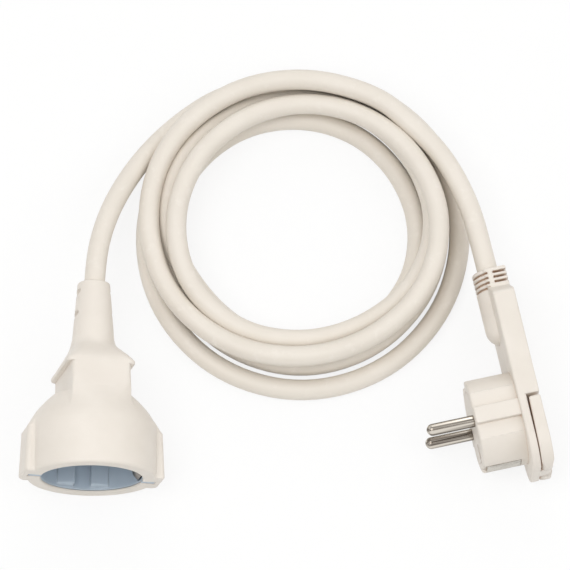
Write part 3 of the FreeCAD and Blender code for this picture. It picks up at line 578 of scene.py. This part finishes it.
def block(low, high, corner, place):
    """A straight block with rounded edges along y, between two opposite corners. It is used
    for what is cut away and for the liner's tabs."""
    turn = np.linspace(0.0, math.tau, 49)[:-1]
    middle = (np.array(low) + np.array(high)) / 2
    half = (np.array(high) - np.array(low)) / 2
    reach = rounded(half[0], half[2], corner, turn)
    rings = polar(reach, np.array([[-half[1]], [half[1]]]), turn) + middle
    return surface("cutter", place(rings))


hole_turn = np.linspace(0.0, math.tau, 65)[:-1]
hole_depth = np.array([LINER_FLOOR - 1.0, LINER_BACK + 1.0])[:, None]
hole = polar(PIN_HOLE_R, hole_depth, hole_turn)
pin_holes = [
    surface("cutter", in_coupler(hole + np.array([0.0, 0.0, z])))
    for z in (-PIN_OFFSET, PIN_OFFSET)
]
# A slot at each side lets the earth spring's leg bow into the recess.
SLOT_MIDDLE, SLOT_HALF_X, SLOT_HALF_Z, SLOT_FRONT, SLOT_BACK = 19.85, 3.85, 4.6, 1.6, 23.0
slots = [
    block(
        (s * SLOT_MIDDLE - SLOT_HALF_X, SLOT_FRONT, -SLOT_HALF_Z),
        (s * SLOT_MIDDLE + SLOT_HALF_X, SLOT_BACK, SLOT_HALF_Z),
        0.4,
        in_coupler,
    )
    for s in (-1, 1)
]
cut_away(liner, pin_holes + slots)
# The fifth colour, #626C79, is the painted dark shade laid into the liner's deep corners and ribs.
blue_grey = moulded_plastic(
    "moulded_polyamide_blue_grey", "#A9B6C2", "#B9C5D0", "#E2E8EE", "#626C79", 0.36, 0.4
)
# A tab of the liner fills the slit in the shell's front at each side and keeps it from turning.
TAB_MIDDLE, TAB_HALF_X, TAB_HALF_Z, TAB_FRONT, TAB_BACK = 22.6, 2.6, 1.4, 0.25, 2.3
tabs = [
    block(
        (s * TAB_MIDDLE - TAB_HALF_X, TAB_FRONT, -TAB_HALF_Z),
        (s * TAB_MIDDLE + TAB_HALF_X, TAB_BACK, TAB_HALF_Z),
        0.3,
        in_coupler,
    )
    for s in (-1, 1)
]
for side, tab in zip(("left", "right"), tabs):
    tab.name = "liner_tab_" + side
for piece in [liner] + tabs:
    piece.data.materials.clear()
    piece.data.materials.append(blue_grey)
    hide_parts("socket_insert")
    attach(piece, "cord_set")

# ---- Earth spring ----
# One U of spring steel strip, 8 mm wide and 0.8 mm thick, pressed to shape: its base lies
# behind the liner, and each leg bows into the recess to meet the plug's earth strip.
SPRING_WIDTH, SPRING_THICKNESS = 8.0, 0.8
SPRING_BASE_X, SPRING_BASE_Y = 22.8, 22.4
SPRING_PATH = [(SPRING_BASE_X, SPRING_BASE_Y), (22.8, 21.0), (21.0, 16.0), (17.9, 10.0), (16.8, 6.6)]
SPRING_PATH += [(17.3, 3.8), (19.3, 2.1)]


def strip_along(path, width, thickness):
    """A flat strip's rings along a path in the x-y plane: at each point the section is the
    strip's rounded rectangle, its thickness along the path's normal and its width along z."""
    path = np.array(path)
    along = np.gradient(path, axis=0)
    along /= np.linalg.norm(along, axis=1)[:, None]
    turn = np.linspace(0.0, math.tau, 41)[:-1]
    reach = rounded(thickness / 2, width / 2, 0.3, turn)
    out, side = reach * np.cos(turn), reach * np.sin(turn)
    x = path[:, :1] + along[:, 1:] * out
    y = path[:, 1:] - along[:, :1] * out
    return np.stack([x, y, np.broadcast_to(side, x.shape)], axis=-1)


def eased_path(points, steps):
    """A smooth line through the corners' neighbourhoods: in each step every corner is replaced
    by two points, a quarter of the way along its two runs, and the ends stay."""
    line = np.array(points, dtype=float)
    for _ in range(steps):
        fore = line[:-1] * 0.75 + line[1:] * 0.25
        aft = line[:-1] * 0.25 + line[1:] * 0.75
        line = np.vstack([line[:1], np.stack([fore, aft], axis=1).reshape(-1, 2), line[-1:]])
    return line


half_path = eased_path(SPRING_PATH, 3)
mirrored = half_path[::-1] * np.array([-1.0, 1.0])
base = eased_path([(x, SPRING_BASE_Y) for x in (-SPRING_BASE_X, 0.0, SPRING_BASE_X)], 2)
whole_path = np.vstack([mirrored[:-1], base[1:-1], half_path])
spring_rings = strip_along(whole_path, SPRING_WIDTH, SPRING_THICKNESS)
earth_spring = surface("earth_spring", in_coupler(spring_rings))


# Pressed or turned metal: fine lines the way the tool ran, a slightly uneven polish and a
# faint tarnish in patches.
def metal_skin(tree, place, colour, roughness, lines, run):
    """Ends a metal's tree with a skin of this colour, how rough it is on average, and tool
    marks: their spacing in mm, and how they are stretched along x, y and z."""
    stretched = add(tree, "ShaderNodeMapping", {"Vector": (place, "Object"), "Scale": run})
    marks = add(
        tree,
        "ShaderNodeTexNoise",
        {"Vector": (stretched, "Vector"), "Scale": 1000 / lines, "Detail": 2.0},
    )
    gloss = add(
        tree,
        "ShaderNodeMapRange",
        {
            "Value": (marks, "Fac"),
            "From Min": 0.3,
            "From Max": 0.7,
            "To Min": roughness - 0.05,
            "To Max": roughness + 0.08,
        },
    )
    rounding = add(tree, "ShaderNodeBevel", {"Radius": 0.15 * MM}, samples=4)
    bump = add(
        tree,
        "ShaderNodeBump",
        {
            "Height": (marks, "Fac"),
            "Normal": (rounding, "Normal"),
            "Strength": 0.25,
            "Distance": 0.02 * MM,
        },
    )
    skin = add(
        tree,
        "ShaderNodeBsdfPrincipled",
        {
            "Base Color": (colour, 2),
            "Roughness": (gloss, "Result"),
            "Normal": (bump, "Normal"),
            "Metallic": 1.0,
        },
    )
    add(tree, "ShaderNodeOutputMaterial", {"Surface": (skin, "BSDF")})


def worked_metal(name, bright, tarnish, roughness, lines, run):
    """A metal's finish in two colours, bright and tarnished, that meet in patches."""
    material, tree = bare_material(name)
    place = add(tree, "ShaderNodeTexCoord")
    patch = add(
        tree,
        "ShaderNodeTexNoise",
        {"Vector": (place, "Object"), "Scale": 1000 / 6, "Detail": 4.0, "Roughness": 0.6},
    )
    tarnished = add(
        tree,
        "ShaderNodeMapRange",
        {"Value": (patch, "Fac"), "From Min": 0.42, "From Max": 0.68},
    )
    colour = add(
        tree,
        "ShaderNodeMix",
        {0: (tarnished, "Result"), 6: linear(bright), 7: linear(tarnish)},
        data_type="RGBA",
    )
    metal_skin(tree, place, colour, roughness, lines, run)
    return material


spring_steel = worked_metal("rolled_spring_steel", "#8C8781", "#5D5751", 0.3, 0.5, (1.0, 0.08, 1.0))
earth_spring.data.materials.append(spring_steel)
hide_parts("coupler_earth_clip")
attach(earth_spring, "cord_set")


# ---- Contacts and wires ----
# A moulded carrier behind the liner holds two slit brass sleeves. Each has a crimp at its back
# with one insulated conductor of the cord, and so have the earth spring and the plug's pins and
# earth strip.
def finish_nodes(material, *names):
    """Gives this finish to every slot of the named solids."""
    for name in names:
        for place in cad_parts[name].material_slots:
            place.material = material


def core_insulation(name, colour, second, stripe):
    """Soft extruded core PVC: one colour, or two in broad bands, with a light sheen."""
    material, tree = bare_material(name)
    place = add(tree, "ShaderNodeTexCoord")
    band = add(
        tree,
        "ShaderNodeTexWave",
        {"Vector": (place, "Object"), "Scale": 1000 / stripe, "Distortion": 0.3},
        bands_direction="X",
    )
    choice = add(
        tree,
        "ShaderNodeMapRange",
        {"Value": (band, "Fac"), "From Min": 0.47, "From Max": 0.53},
    )
    shade = add(
        tree,
        "ShaderNodeMix",
        {0: (choice, "Result"), 6: linear(colour), 7: linear(second)},
        data_type="RGBA",
    )
    cloud = add(
        tree,
        "ShaderNodeTexNoise",
        {"Vector": (place, "Object"), "Scale": 1000 / 2.0, "Detail": 3.0},
    )
    gloss = add(tree, "ShaderNodeMapRange", {"Value": (cloud, "Fac"), "To Min": 0.35, "To Max": 0.55})
    bump = add(
        tree,
        "ShaderNodeBump",
        {"Height": (cloud, "Fac"), "Strength": 0.2, "Distance": 0.03 * MM},
    )
    skin = add(
        tree,
        "ShaderNodeBsdfPrincipled",
        {
            "Base Color": (shade, 2),
            "Roughness": (gloss, "Result"),
            "Normal": (bump, "Normal"),
            "IOR": 1.52,
        },
    )
    add(tree, "ShaderNodeOutputMaterial", {"Surface": (skin, "BSDF")})
    return material


drawn_brass = worked_metal("drawn_brass", "#C2A062", "#93733F", 0.28, 0.4, (1.0, 0.1, 1.0))
tin_plate = worked_metal("tinned_copper", "#B4B6B8", "#8F9092", 0.33, 0.6, (1.0, 1.0, 1.0))
brown_core = core_insulation("core_pvc_brown", "#6A3F27", "#62391F", 40.0)
blue_core = core_insulation("core_pvc_blue", "#2D67A8", "#2A609E", 40.0)
earth_core = core_insulation("core_pvc_green_yellow", "#E3C62F", "#3E8F3A", 8.0)
finish_nodes(blue_grey, "contact_carrier")
finish_nodes(drawn_brass, "line_contact_sleeve", "neutral_contact_sleeve", "earth_pin_sleeve")
for end in ("coupler", "plug"):
    finish_nodes(tin_plate, f"{end}_line_crimp", f"{end}_neutral_crimp", f"{end}_earth_crimp")
    finish_nodes(brown_core, f"{end}_line_core")
    finish_nodes(blue_core, f"{end}_neutral_core")
    finish_nodes(earth_core, f"{end}_earth_core")

# ---- Plug handle ----
# A flat ivory plate, 8.8 mm thick with softly rounded edges, moulded over the cord's end. Its
# outer half is cut back on one side to take the pull lever. Sizes in mm: x along the handle
# towards the cord, y the way the pins point, z across the plate.
PLUG_AT = np.array([91.6, -17.3, 19.0])
PLUG_TURN = math.radians(102.5)
PLUG_AXES = np.array(
    [
        [math.cos(PLUG_TURN), math.sin(PLUG_TURN), 0.0],
        [-math.sin(PLUG_TURN), math.cos(PLUG_TURN), 0.0],
        [0.0, 0.0, 1.0],
    ]
)
PLATE_THICKNESS, PLATE_HALF, PLATE_FAR, PLATE_CORNER = 8.8, 19.0, -24.5, 12.0
PLATE_SHOULDER, PLATE_END, CABLE_HALF = 46.5, 53.5, 7.2
STEP_X, RECESS_LEVEL = 3.9, -3.4


def in_plug(points):
    """Points of the plug's own frame, in mm, as metres where the plug lies."""
    return MM * (PLUG_AT + points @ PLUG_AXES)


def plate_half(x):
    """Half of the plate's width: full in the middle, less by a quarter circle's rise at the far
    corners, and less by a smooth step at the shoulders towards the cord."""
    into_corner = np.clip(PLATE_FAR + PLATE_CORNER - x, 0.0, PLATE_CORNER)
    corner = PLATE_CORNER - np.sqrt(PLATE_CORNER**2 - into_corner**2)
    slope = (PLATE_HALF - CABLE_HALF + 0.5) * eased(x, PLATE_SHOULDER, PLATE_END)
    return PLATE_HALF - corner - slope


def slab(x, low, high, half, corner):
    """Rings of a slab along x: at each x a rounded rectangle from low to high in y and to the
    half width in z. The ring's points keep their share of each arc and side from ring to ring."""
    low, high, half, corner = (np.broadcast_to(v, x.shape)[:, None] for v in (low, high, half, corner))
    quarter = np.linspace(0.0, math.pi / 2, 7)
    turn = np.concatenate([quarter + i * math.pi / 2 for i in range(4)])[None, :]
    side_y = np.repeat([1.0, -1.0, -1.0, 1.0], 7)[None, :]
    side_z = np.repeat([1.0, 1.0, -1.0, -1.0], 7)[None, :]
    middle, thick = (low + high) / 2, (high - low) / 2
    corner = np.minimum(corner, np.minimum(thick, half) - 0.02)
    y = middle + side_y * (thick - corner) + corner * np.cos(turn)
    z = side_z * (half - corner) + corner * np.sin(turn)
    return np.stack([np.broadcast_to(x[:, None], y.shape), y, z], axis=-1)


EDGE = 0.9
far_x = crowded(PLATE_FAR, STEP_X, 60, [(PLATE_FAR, 20.0, 1.2), (-22.0, 3.0, 2.0), (STEP_X, 8.0, 0.6)])
near_x = crowded(STEP_X, PLATE_END, 60, [(STEP_X, 8.0, 0.6), (PLATE_END - 3.0, 3.0, 4.0)])
far_shrink = worn_round(far_x - PLATE_FAR, EDGE)
near_shrink = worn_round(near_x - STEP_X, 0.5)
far_part = slab(far_x, RECESS_LEVEL + far_shrink, -far_shrink, plate_half(far_x) - far_shrink, EDGE)
near_part = slab(near_x, -PLATE_THICKNESS + near_shrink, 0.0 * near_x, plate_half(near_x), EDGE)
handle = surface("plug_handle", in_plug(np.concatenate([far_part, near_part])))
handle.data.materials.append(ivory)

# ---- Plug boot ----
# The cord's strain relief, moulded in one with the handle: a round bulge that starts as half a
# ball on the plate, and a grooved end that bends with the cord.
CABLE_LEVEL, BULGE_R, BULGE_X, HANDLE_LENGTH = -2.2, 6.6, 36.8, 60.8
GROOVE_FLOOR, GROOVE_HALF, GROOVE_PITCH, FIRST_GROOVE = 5.2, 0.42, 2.0, 58.75


def boot_reach(angle, x):
    """The boot's reach from the cord's line: the bulge's circle, which grows as a ball does,
    joined with the plate's own section near the end, and cut in by the grooves."""
    into_ball = np.clip(BULGE_X - x, 0.0, BULGE_R - 0.01)
    ball = np.sqrt(BULGE_R**2 - into_ball**2)
    up, side = np.cos(angle), np.sin(angle)
    sides = np.where(up > 0, -CABLE_LEVEL, PLATE_THICKNESS + CABLE_LEVEL)
    up_reach = sides / np.maximum(np.abs(up), 0.05)
    outline = np.minimum(up_reach, CABLE_HALF / np.maximum(np.abs(side), 0.05))
    outline = np.where(x > 50.0, np.minimum(outline, 9.5), 0.0)
    reach = blended(ball + 0.0 * angle, outline, 1.2)
    for count, facing in ((4, 1.0), (3, -1.0)):
        for i in range(count):
            middle = FIRST_GROOVE - i * GROOVE_PITCH
            profile = 1.0 - eased(np.abs(x - middle), GROOVE_HALF - 0.12, GROOVE_HALF + 0.12)
            facing_share = eased(facing * reach * up, 0.9, 1.5)
            reach = reach - profile * facing_share * np.maximum(reach - GROOVE_FLOOR, 0.0)
    return reach - worn_round(HANDLE_LENGTH - x, 0.7)


turn = crowded(0.0, math.tau, 161, [(q * math.pi / 2, 2.0, 0.1) for q in (1, 3)])[:-1]
groove_middles = [FIRST_GROOVE - i * GROOVE_PITCH for i in range(4)]
boot_marks = [(m + s * GROOVE_HALF, 8.0, 0.2) for m in groove_middles for s in (-1, 1)]
boot_marks += [(30.4, 10.0, 0.5), (60.5, 10.0, 0.4)]
boot_x = crowded(BULGE_X - BULGE_R + 0.02, HANDLE_LENGTH, 170, boot_marks)
reach = boot_reach(turn, boot_x[:, None])
boot_rings = np.stack(
    [
        np.broadcast_to(boot_x[:, None], reach.shape),
        CABLE_LEVEL + reach * np.cos(turn),
        reach * np.sin(turn),
    ],
    axis=-1,
)
plug_boot = surface("plug_boot", in_plug(boot_rings))
plug_boot.data.materials.append(ivory)

# ---- Plug face ----
# The round puck that enters the coupler's recess, moulded on the plate: flats and a ridge at
# both ends of the pins' line, a slot down each side for the earth strip, and a seat for the
# bridge that carries the pins.
PUCK_R, PUCK_DEPTH, PUCK_EDGE = 18.4, 18.0, 0.9
FLAT_LEVEL, FLAT_HALF, RIDGE_HALF, RIDGE_LEVEL = 15.6, 9.4, 3.3, 17.7
STRIP_HALF, STRIP_FLOOR, STRIP_START = 4.5, 16.6, 2.9
BRIDGE_R, LEDGE_R, LEDGE_LEVEL, SEAT_FLOOR = 14.15, 13.2, 11.9, 2.7


def puck_reach(angle, y):
    """The puck's reach from the middle of the pins: its circle, cut back to the flats' planes
    beside the ridge and to the ridge's plane on it, and to the slot's floor at each side."""
    along_x = np.maximum(np.abs(np.cos(angle)), 1e-3)
    along_z = np.maximum(np.abs(np.sin(angle)), 1e-3)
    flat = np.maximum(FLAT_LEVEL / along_z, np.minimum(RIDGE_LEVEL / along_z, RIDGE_HALF / along_x))
    on_flat = FLAT_LEVEL * along_x / along_z < FLAT_HALF
    reach = np.where(on_flat, np.minimum(flat, PUCK_R), PUCK_R)
    in_slot = (reach * along_z < STRIP_HALF) & (y > STRIP_START)
    reach = np.where(in_slot, STRIP_FLOOR / along_x, reach)
    return reach - worn_round(PUCK_DEPTH - y, PUCK_EDGE)


flat_edges = [side * a for side in (-1, 1) for a in (0.19, 0.53)]
side_marks = [(q * math.pi / 2 + edge, 9.0, 0.02) for q in (1, 3) for edge in flat_edges]
slot_marks = [(q * math.pi + s * 0.247, 9.0, 0.02) for q in (0, 1, 2) for s in (-1, 1)]
angle = crowded(0.0, math.tau, 401, side_marks + slot_marks)[:-1]
depth = crowded(-0.4, PUCK_DEPTH, 60, [(STRIP_START, 10.0, 0.3), (17.6, 16.0, 0.5)])[:, None]
puck_wall = polar(puck_reach(angle, depth), depth, angle)
face_reach = np.minimum(BRIDGE_R, puck_reach(angle, PUCK_DEPTH))
seat = [polar(face_reach + 0.3, PUCK_DEPTH, angle), polar(face_reach, PUCK_DEPTH - 0.3, angle)]
seat += [polar(BRIDGE_R, y, angle) for y in (PUCK_DEPTH - 1.0, LEDGE_LEVEL)]
seat += [polar(LEDGE_R, y, angle) for y in (LEDGE_LEVEL, SEAT_FLOOR)]
puck = surface("plug_puck", in_plug(np.concatenate([puck_wall, np.stack(seat)])))
puck.data.materials.append(ivory)
finish_nodes(ivory, "pin_bridge")
plated_strip = worked_metal("nickel_plated_strip", "#C9C4BA", "#A9A398", 0.3, 0.5, (1.0, 0.1, 1.0))
finish_nodes(plated_strip, "plug_earth_strip")

# ---- Hinge lug ----
# The block that the lever's hinge pin goes through, moulded in one with the plate: round at its
# free end, and flat-sided where it grows out of the plate.
HINGE_X, HINGE_LEVEL, LUG_HALF, LUG_R, LUG_ROOT = -21.95, -6.25, 4.0, 2.1, 3.3
turn = np.linspace(0.0, math.tau, 65)[:-1]
to_side = LUG_R / np.maximum(np.abs(np.cos(turn)), 0.05)
to_root = LUG_ROOT / np.maximum(np.sin(turn), 0.05)
outline = np.where(np.sin(turn) > 0, np.minimum(to_side, to_root), LUG_R)
lug_z = LUG_HALF * np.array([-1.0, -0.975, -0.9, 0.9, 0.975, 1.0])[:, None]
lug_reach = outline - worn_round(LUG_HALF - np.abs(lug_z), 0.3)
lug_rings = np.stack(
    [
        HINGE_X + lug_reach * np.cos(turn),
        HINGE_LEVEL + lug_reach * np.sin(turn),
        np.broadcast_to(lug_z, lug_reach.shape),
    ],
    axis=-1,
)
lug = surface("hinge_lug", in_plug(lug_rings))
lug.data.materials.append(ivory)
for piece in (handle, plug_boot, puck, lug):
    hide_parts("plug_body")
    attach(piece, "cord_set")

# ---- Pull lever ----
# A separate ivory moulding that fills the cut in the plate's back and swings out on a steel
# hinge pin, to pull the plug out by. Its inner face tapers, so a fingernail gets under it.
LEVER_INNER, LEVER_FREE, LEVER_TAPER, TAPER_LENGTH = -3.7, 2.8, 0.5, 17.0
lever_r = (LEVER_INNER + PLATE_THICKNESS) / 2
round_turn = np.linspace(math.pi / 2 - 0.02, 0.0, 14)
round_x = HINGE_X - lever_r * np.sin(round_turn)
round_half = lever_r * np.cos(round_turn)
straight_x = crowded(HINGE_X, LEVER_FREE, 60, [(LEVER_FREE, 12.0, 0.8)])[1:]
lever_x = np.concatenate([round_x, straight_x])
free_shrink = worn_round(LEVER_FREE - straight_x, 0.8)
taper = LEVER_TAPER * np.clip(1.0 + (straight_x - LEVER_FREE) / TAPER_LENGTH, 0.0, 1.0)
low = np.concatenate([HINGE_LEVEL - round_half, -PLATE_THICKNESS + free_shrink])
high = np.concatenate([HINGE_LEVEL + round_half, LEVER_INNER - taper - free_shrink])
half = plate_half(lever_x) - np.concatenate([0.0 * round_x, free_shrink])
lever = surface("pull_lever_moulding", in_plug(slab(lever_x, low, high, half, 0.7)))
cut_away(lever, [block((-26.0, -10.0, -4.3), (-19.55, -2.0, 4.3), 0.3, in_plug)])
lever.data.materials.clear()
lever.data.materials.append(ivory)
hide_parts("pull_lever")
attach(lever, "lever")
finish_nodes(spring_steel, "lever_hinge_pin")

# ---- Pins ----
# Two solid round pins of nickel-plated brass, turned on a lathe: 4.8 mm across with a domed
# tip, a collar and a thinner shank where the bridge holds them.
PIN_R, SHANK_R, COLLAR_R, TIP_START = 2.4, 2.1, 3.2, 34.6
pin_outline = [(0.3, 6.0), (1.9, 6.0), (SHANK_R, 6.2), (SHANK_R, 10.4), (COLLAR_R, 10.4)]
pin_outline += [(COLLAR_R, 11.9), (SHANK_R, 11.9), (SHANK_R, 18.1), (2.25, 18.1)]
pin_outline += [(PIN_R, 18.25), (PIN_R, 26.0), (PIN_R, TIP_START)]
dome = np.linspace(0.0, math.pi / 2 - 0.05, 14)[1:]
tip = np.stack([PIN_R * np.cos(dome), TIP_START + PIN_R * np.sin(dome)], axis=-1)
pin_profile = np.vstack([pin_outline, tip])[:, :, None]

# Bright nickel with painted reflections: pale and dark streaks laid into its colour run from the tip to
# the face, in place of the surroundings that a polished pin mirrors.
nickel, tree = bare_material("nickel_plated_brass_painted_reflections")
place = add(tree, "ShaderNodeTexCoord")
along_pin = add(
    tree,
    "ShaderNodeMapping",
    {"Vector": (place, "Object"), "Rotation": (0.0, 0.0, math.radians(-12.5))},
)
stretched_along_pin = add(
    tree,
    "ShaderNodeMapping",
    {"Vector": (along_pin, "Vector"), "Scale": (0.02, 1.0, 1.0)},
)
reflection_streaks = add(
    tree,
    "ShaderNodeTexNoise",
    {"Vector": (stretched_along_pin, "Vector"), "Scale": 1000 / 1.6, "Detail": 2.0, "Roughness": 0.6},
)
reflection_streak_share = add(
    tree,
    "ShaderNodeMapRange",
    {"Value": (reflection_streaks, "Fac"), "From Min": 0.4, "From Max": 0.62},
)
# Painted reflection: the base colour swings between dark #6A625A and pale #DAD3C8 in streaks stretched
# along the pin.
painted_reflections = add(
    tree,
    "ShaderNodeMix",
    {0: (reflection_streak_share, "Result"), 6: linear("#6A625A"), 7: linear("#DAD3C8")},
    data_type="RGBA",
)
metal_skin(tree, place, painted_reflections, 0.12, 0.3, (1.0, 1.0, 0.1))
turn = np.linspace(0.0, math.tau, 65)[:-1]
for name, z in (("line_pin", PIN_OFFSET), ("neutral_pin", -PIN_OFFSET)):
    rings = polar(pin_profile[:, 0], pin_profile[:, 1], turn) + np.array([0.0, 0.0, z])
    pin = surface(name + "_turned", in_plug(rings))
    pin.data.materials.append(nickel)
    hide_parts(name)
    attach(pin, "cord_set")

# ---- Floor and light ----
# A plain white sweep under a soft key lamp from the front left, a weaker one from the right,
# and one behind. What the eye and reflections see of the paper is near pure white.
floor_mesh = bpy.data.meshes.new("floor")
floor_mesh.from_pydata([(-3, -3, 0), (3, -3, 0), (3, 3, 0), (-3, 3, 0)], [], [(0, 1, 2, 3)])
floor = bpy.data.objects.new("floor", floor_mesh)
scene.collection.objects.link(floor)
paper, tree = bare_material("matt_white_paper")
place = add(tree, "ShaderNodeTexCoord")
fibre = add(tree, "ShaderNodeTexNoise", {"Vector": (place, "Object"), "Scale": 1000 / 8, "Detail": 3.0})
pulp = add(
    tree,
    "ShaderNodeMix",
    {0: (fibre, "Fac"), 6: linear("#F1F1F0"), 7: linear("#F5F5F4")},
    data_type="RGBA",
)
matt = add(tree, "ShaderNodeBsdfDiffuse", {"Color": (pulp, 2), "Roughness": 0.4})
plain = add(tree, "ShaderNodeEmission", {"Color": (1.0, 1.0, 1.0, 1.0), "Strength": 1.0})


def looked_at(tree):
    """A node whose value is 1 where a ray comes from the eye, a reflection or a clear piece,
    and 0 where it only gathers light: the largest of the three kinds' marks."""
    ray = add(tree, "ShaderNodeLightPath")
    straight_or_mirrored = add(
        tree,
        "ShaderNodeMath",
        {0: (ray, "Is Camera Ray"), 1: (ray, "Is Glossy Ray")},
        operation="MAXIMUM",
    )
    return add(
        tree,
        "ShaderNodeMath",
        {0: (straight_or_mirrored, "Value"), 1: (ray, "Is Transmission Ray")},
        operation="MAXIMUM",
    )


share = add(
    tree,
    "ShaderNodeMath",
    {0: (looked_at(tree), "Value"), 1: 0.82},
    operation="MULTIPLY",
)
mixed = add(
    tree,
    "ShaderNodeMixShader",
    {"Fac": (share, "Value"), 1: (matt, "BSDF"), 2: (plain, "Emission")},
)
add(tree, "ShaderNodeOutputMaterial", {"Surface": (mixed, "Shader")})
floor_mesh.materials.append(paper)

world = bpy.data.worlds.new("world")
scene.world = world
world.use_nodes = True
tree = world.node_tree
tree.nodes.clear()
strength = add(
    tree,
    "ShaderNodeMapRange",
    {"Value": (looked_at(tree), "Value"), "To Min": 0.6, "To Max": 1.0},
)
sky = add(
    tree,
    "ShaderNodeBackground",
    {"Color": (1.0, 1.0, 1.0, 1.0), "Strength": (strength, "Result")},
)
add(tree, "ShaderNodeOutputWorld", {"Surface": (sky, "Background")})

for name, at, size, watts in (
    ("key", (-0.5, -0.3, 1.7), 1.1, 12.5),
    ("fill", (1.1, -0.2, 1.3), 1.2, 6.0),
    ("back", (0.1, 1.5, 1.1), 1.2, 4.5),
):
    lamp_data = bpy.data.lights.new(name, "AREA")
    lamp_data.shape = "SQUARE"
    lamp_data.size = size
    lamp_data.energy = watts
    lamp = bpy.data.objects.new(name, lamp_data)
    lamp.location = at
    lamp.rotation_euler = (Vector((0.0, 0.04, 0.0)) - Vector(at)).to_track_quat("-Z", "Y").to_euler()
    scene.collection.objects.link(lamp)
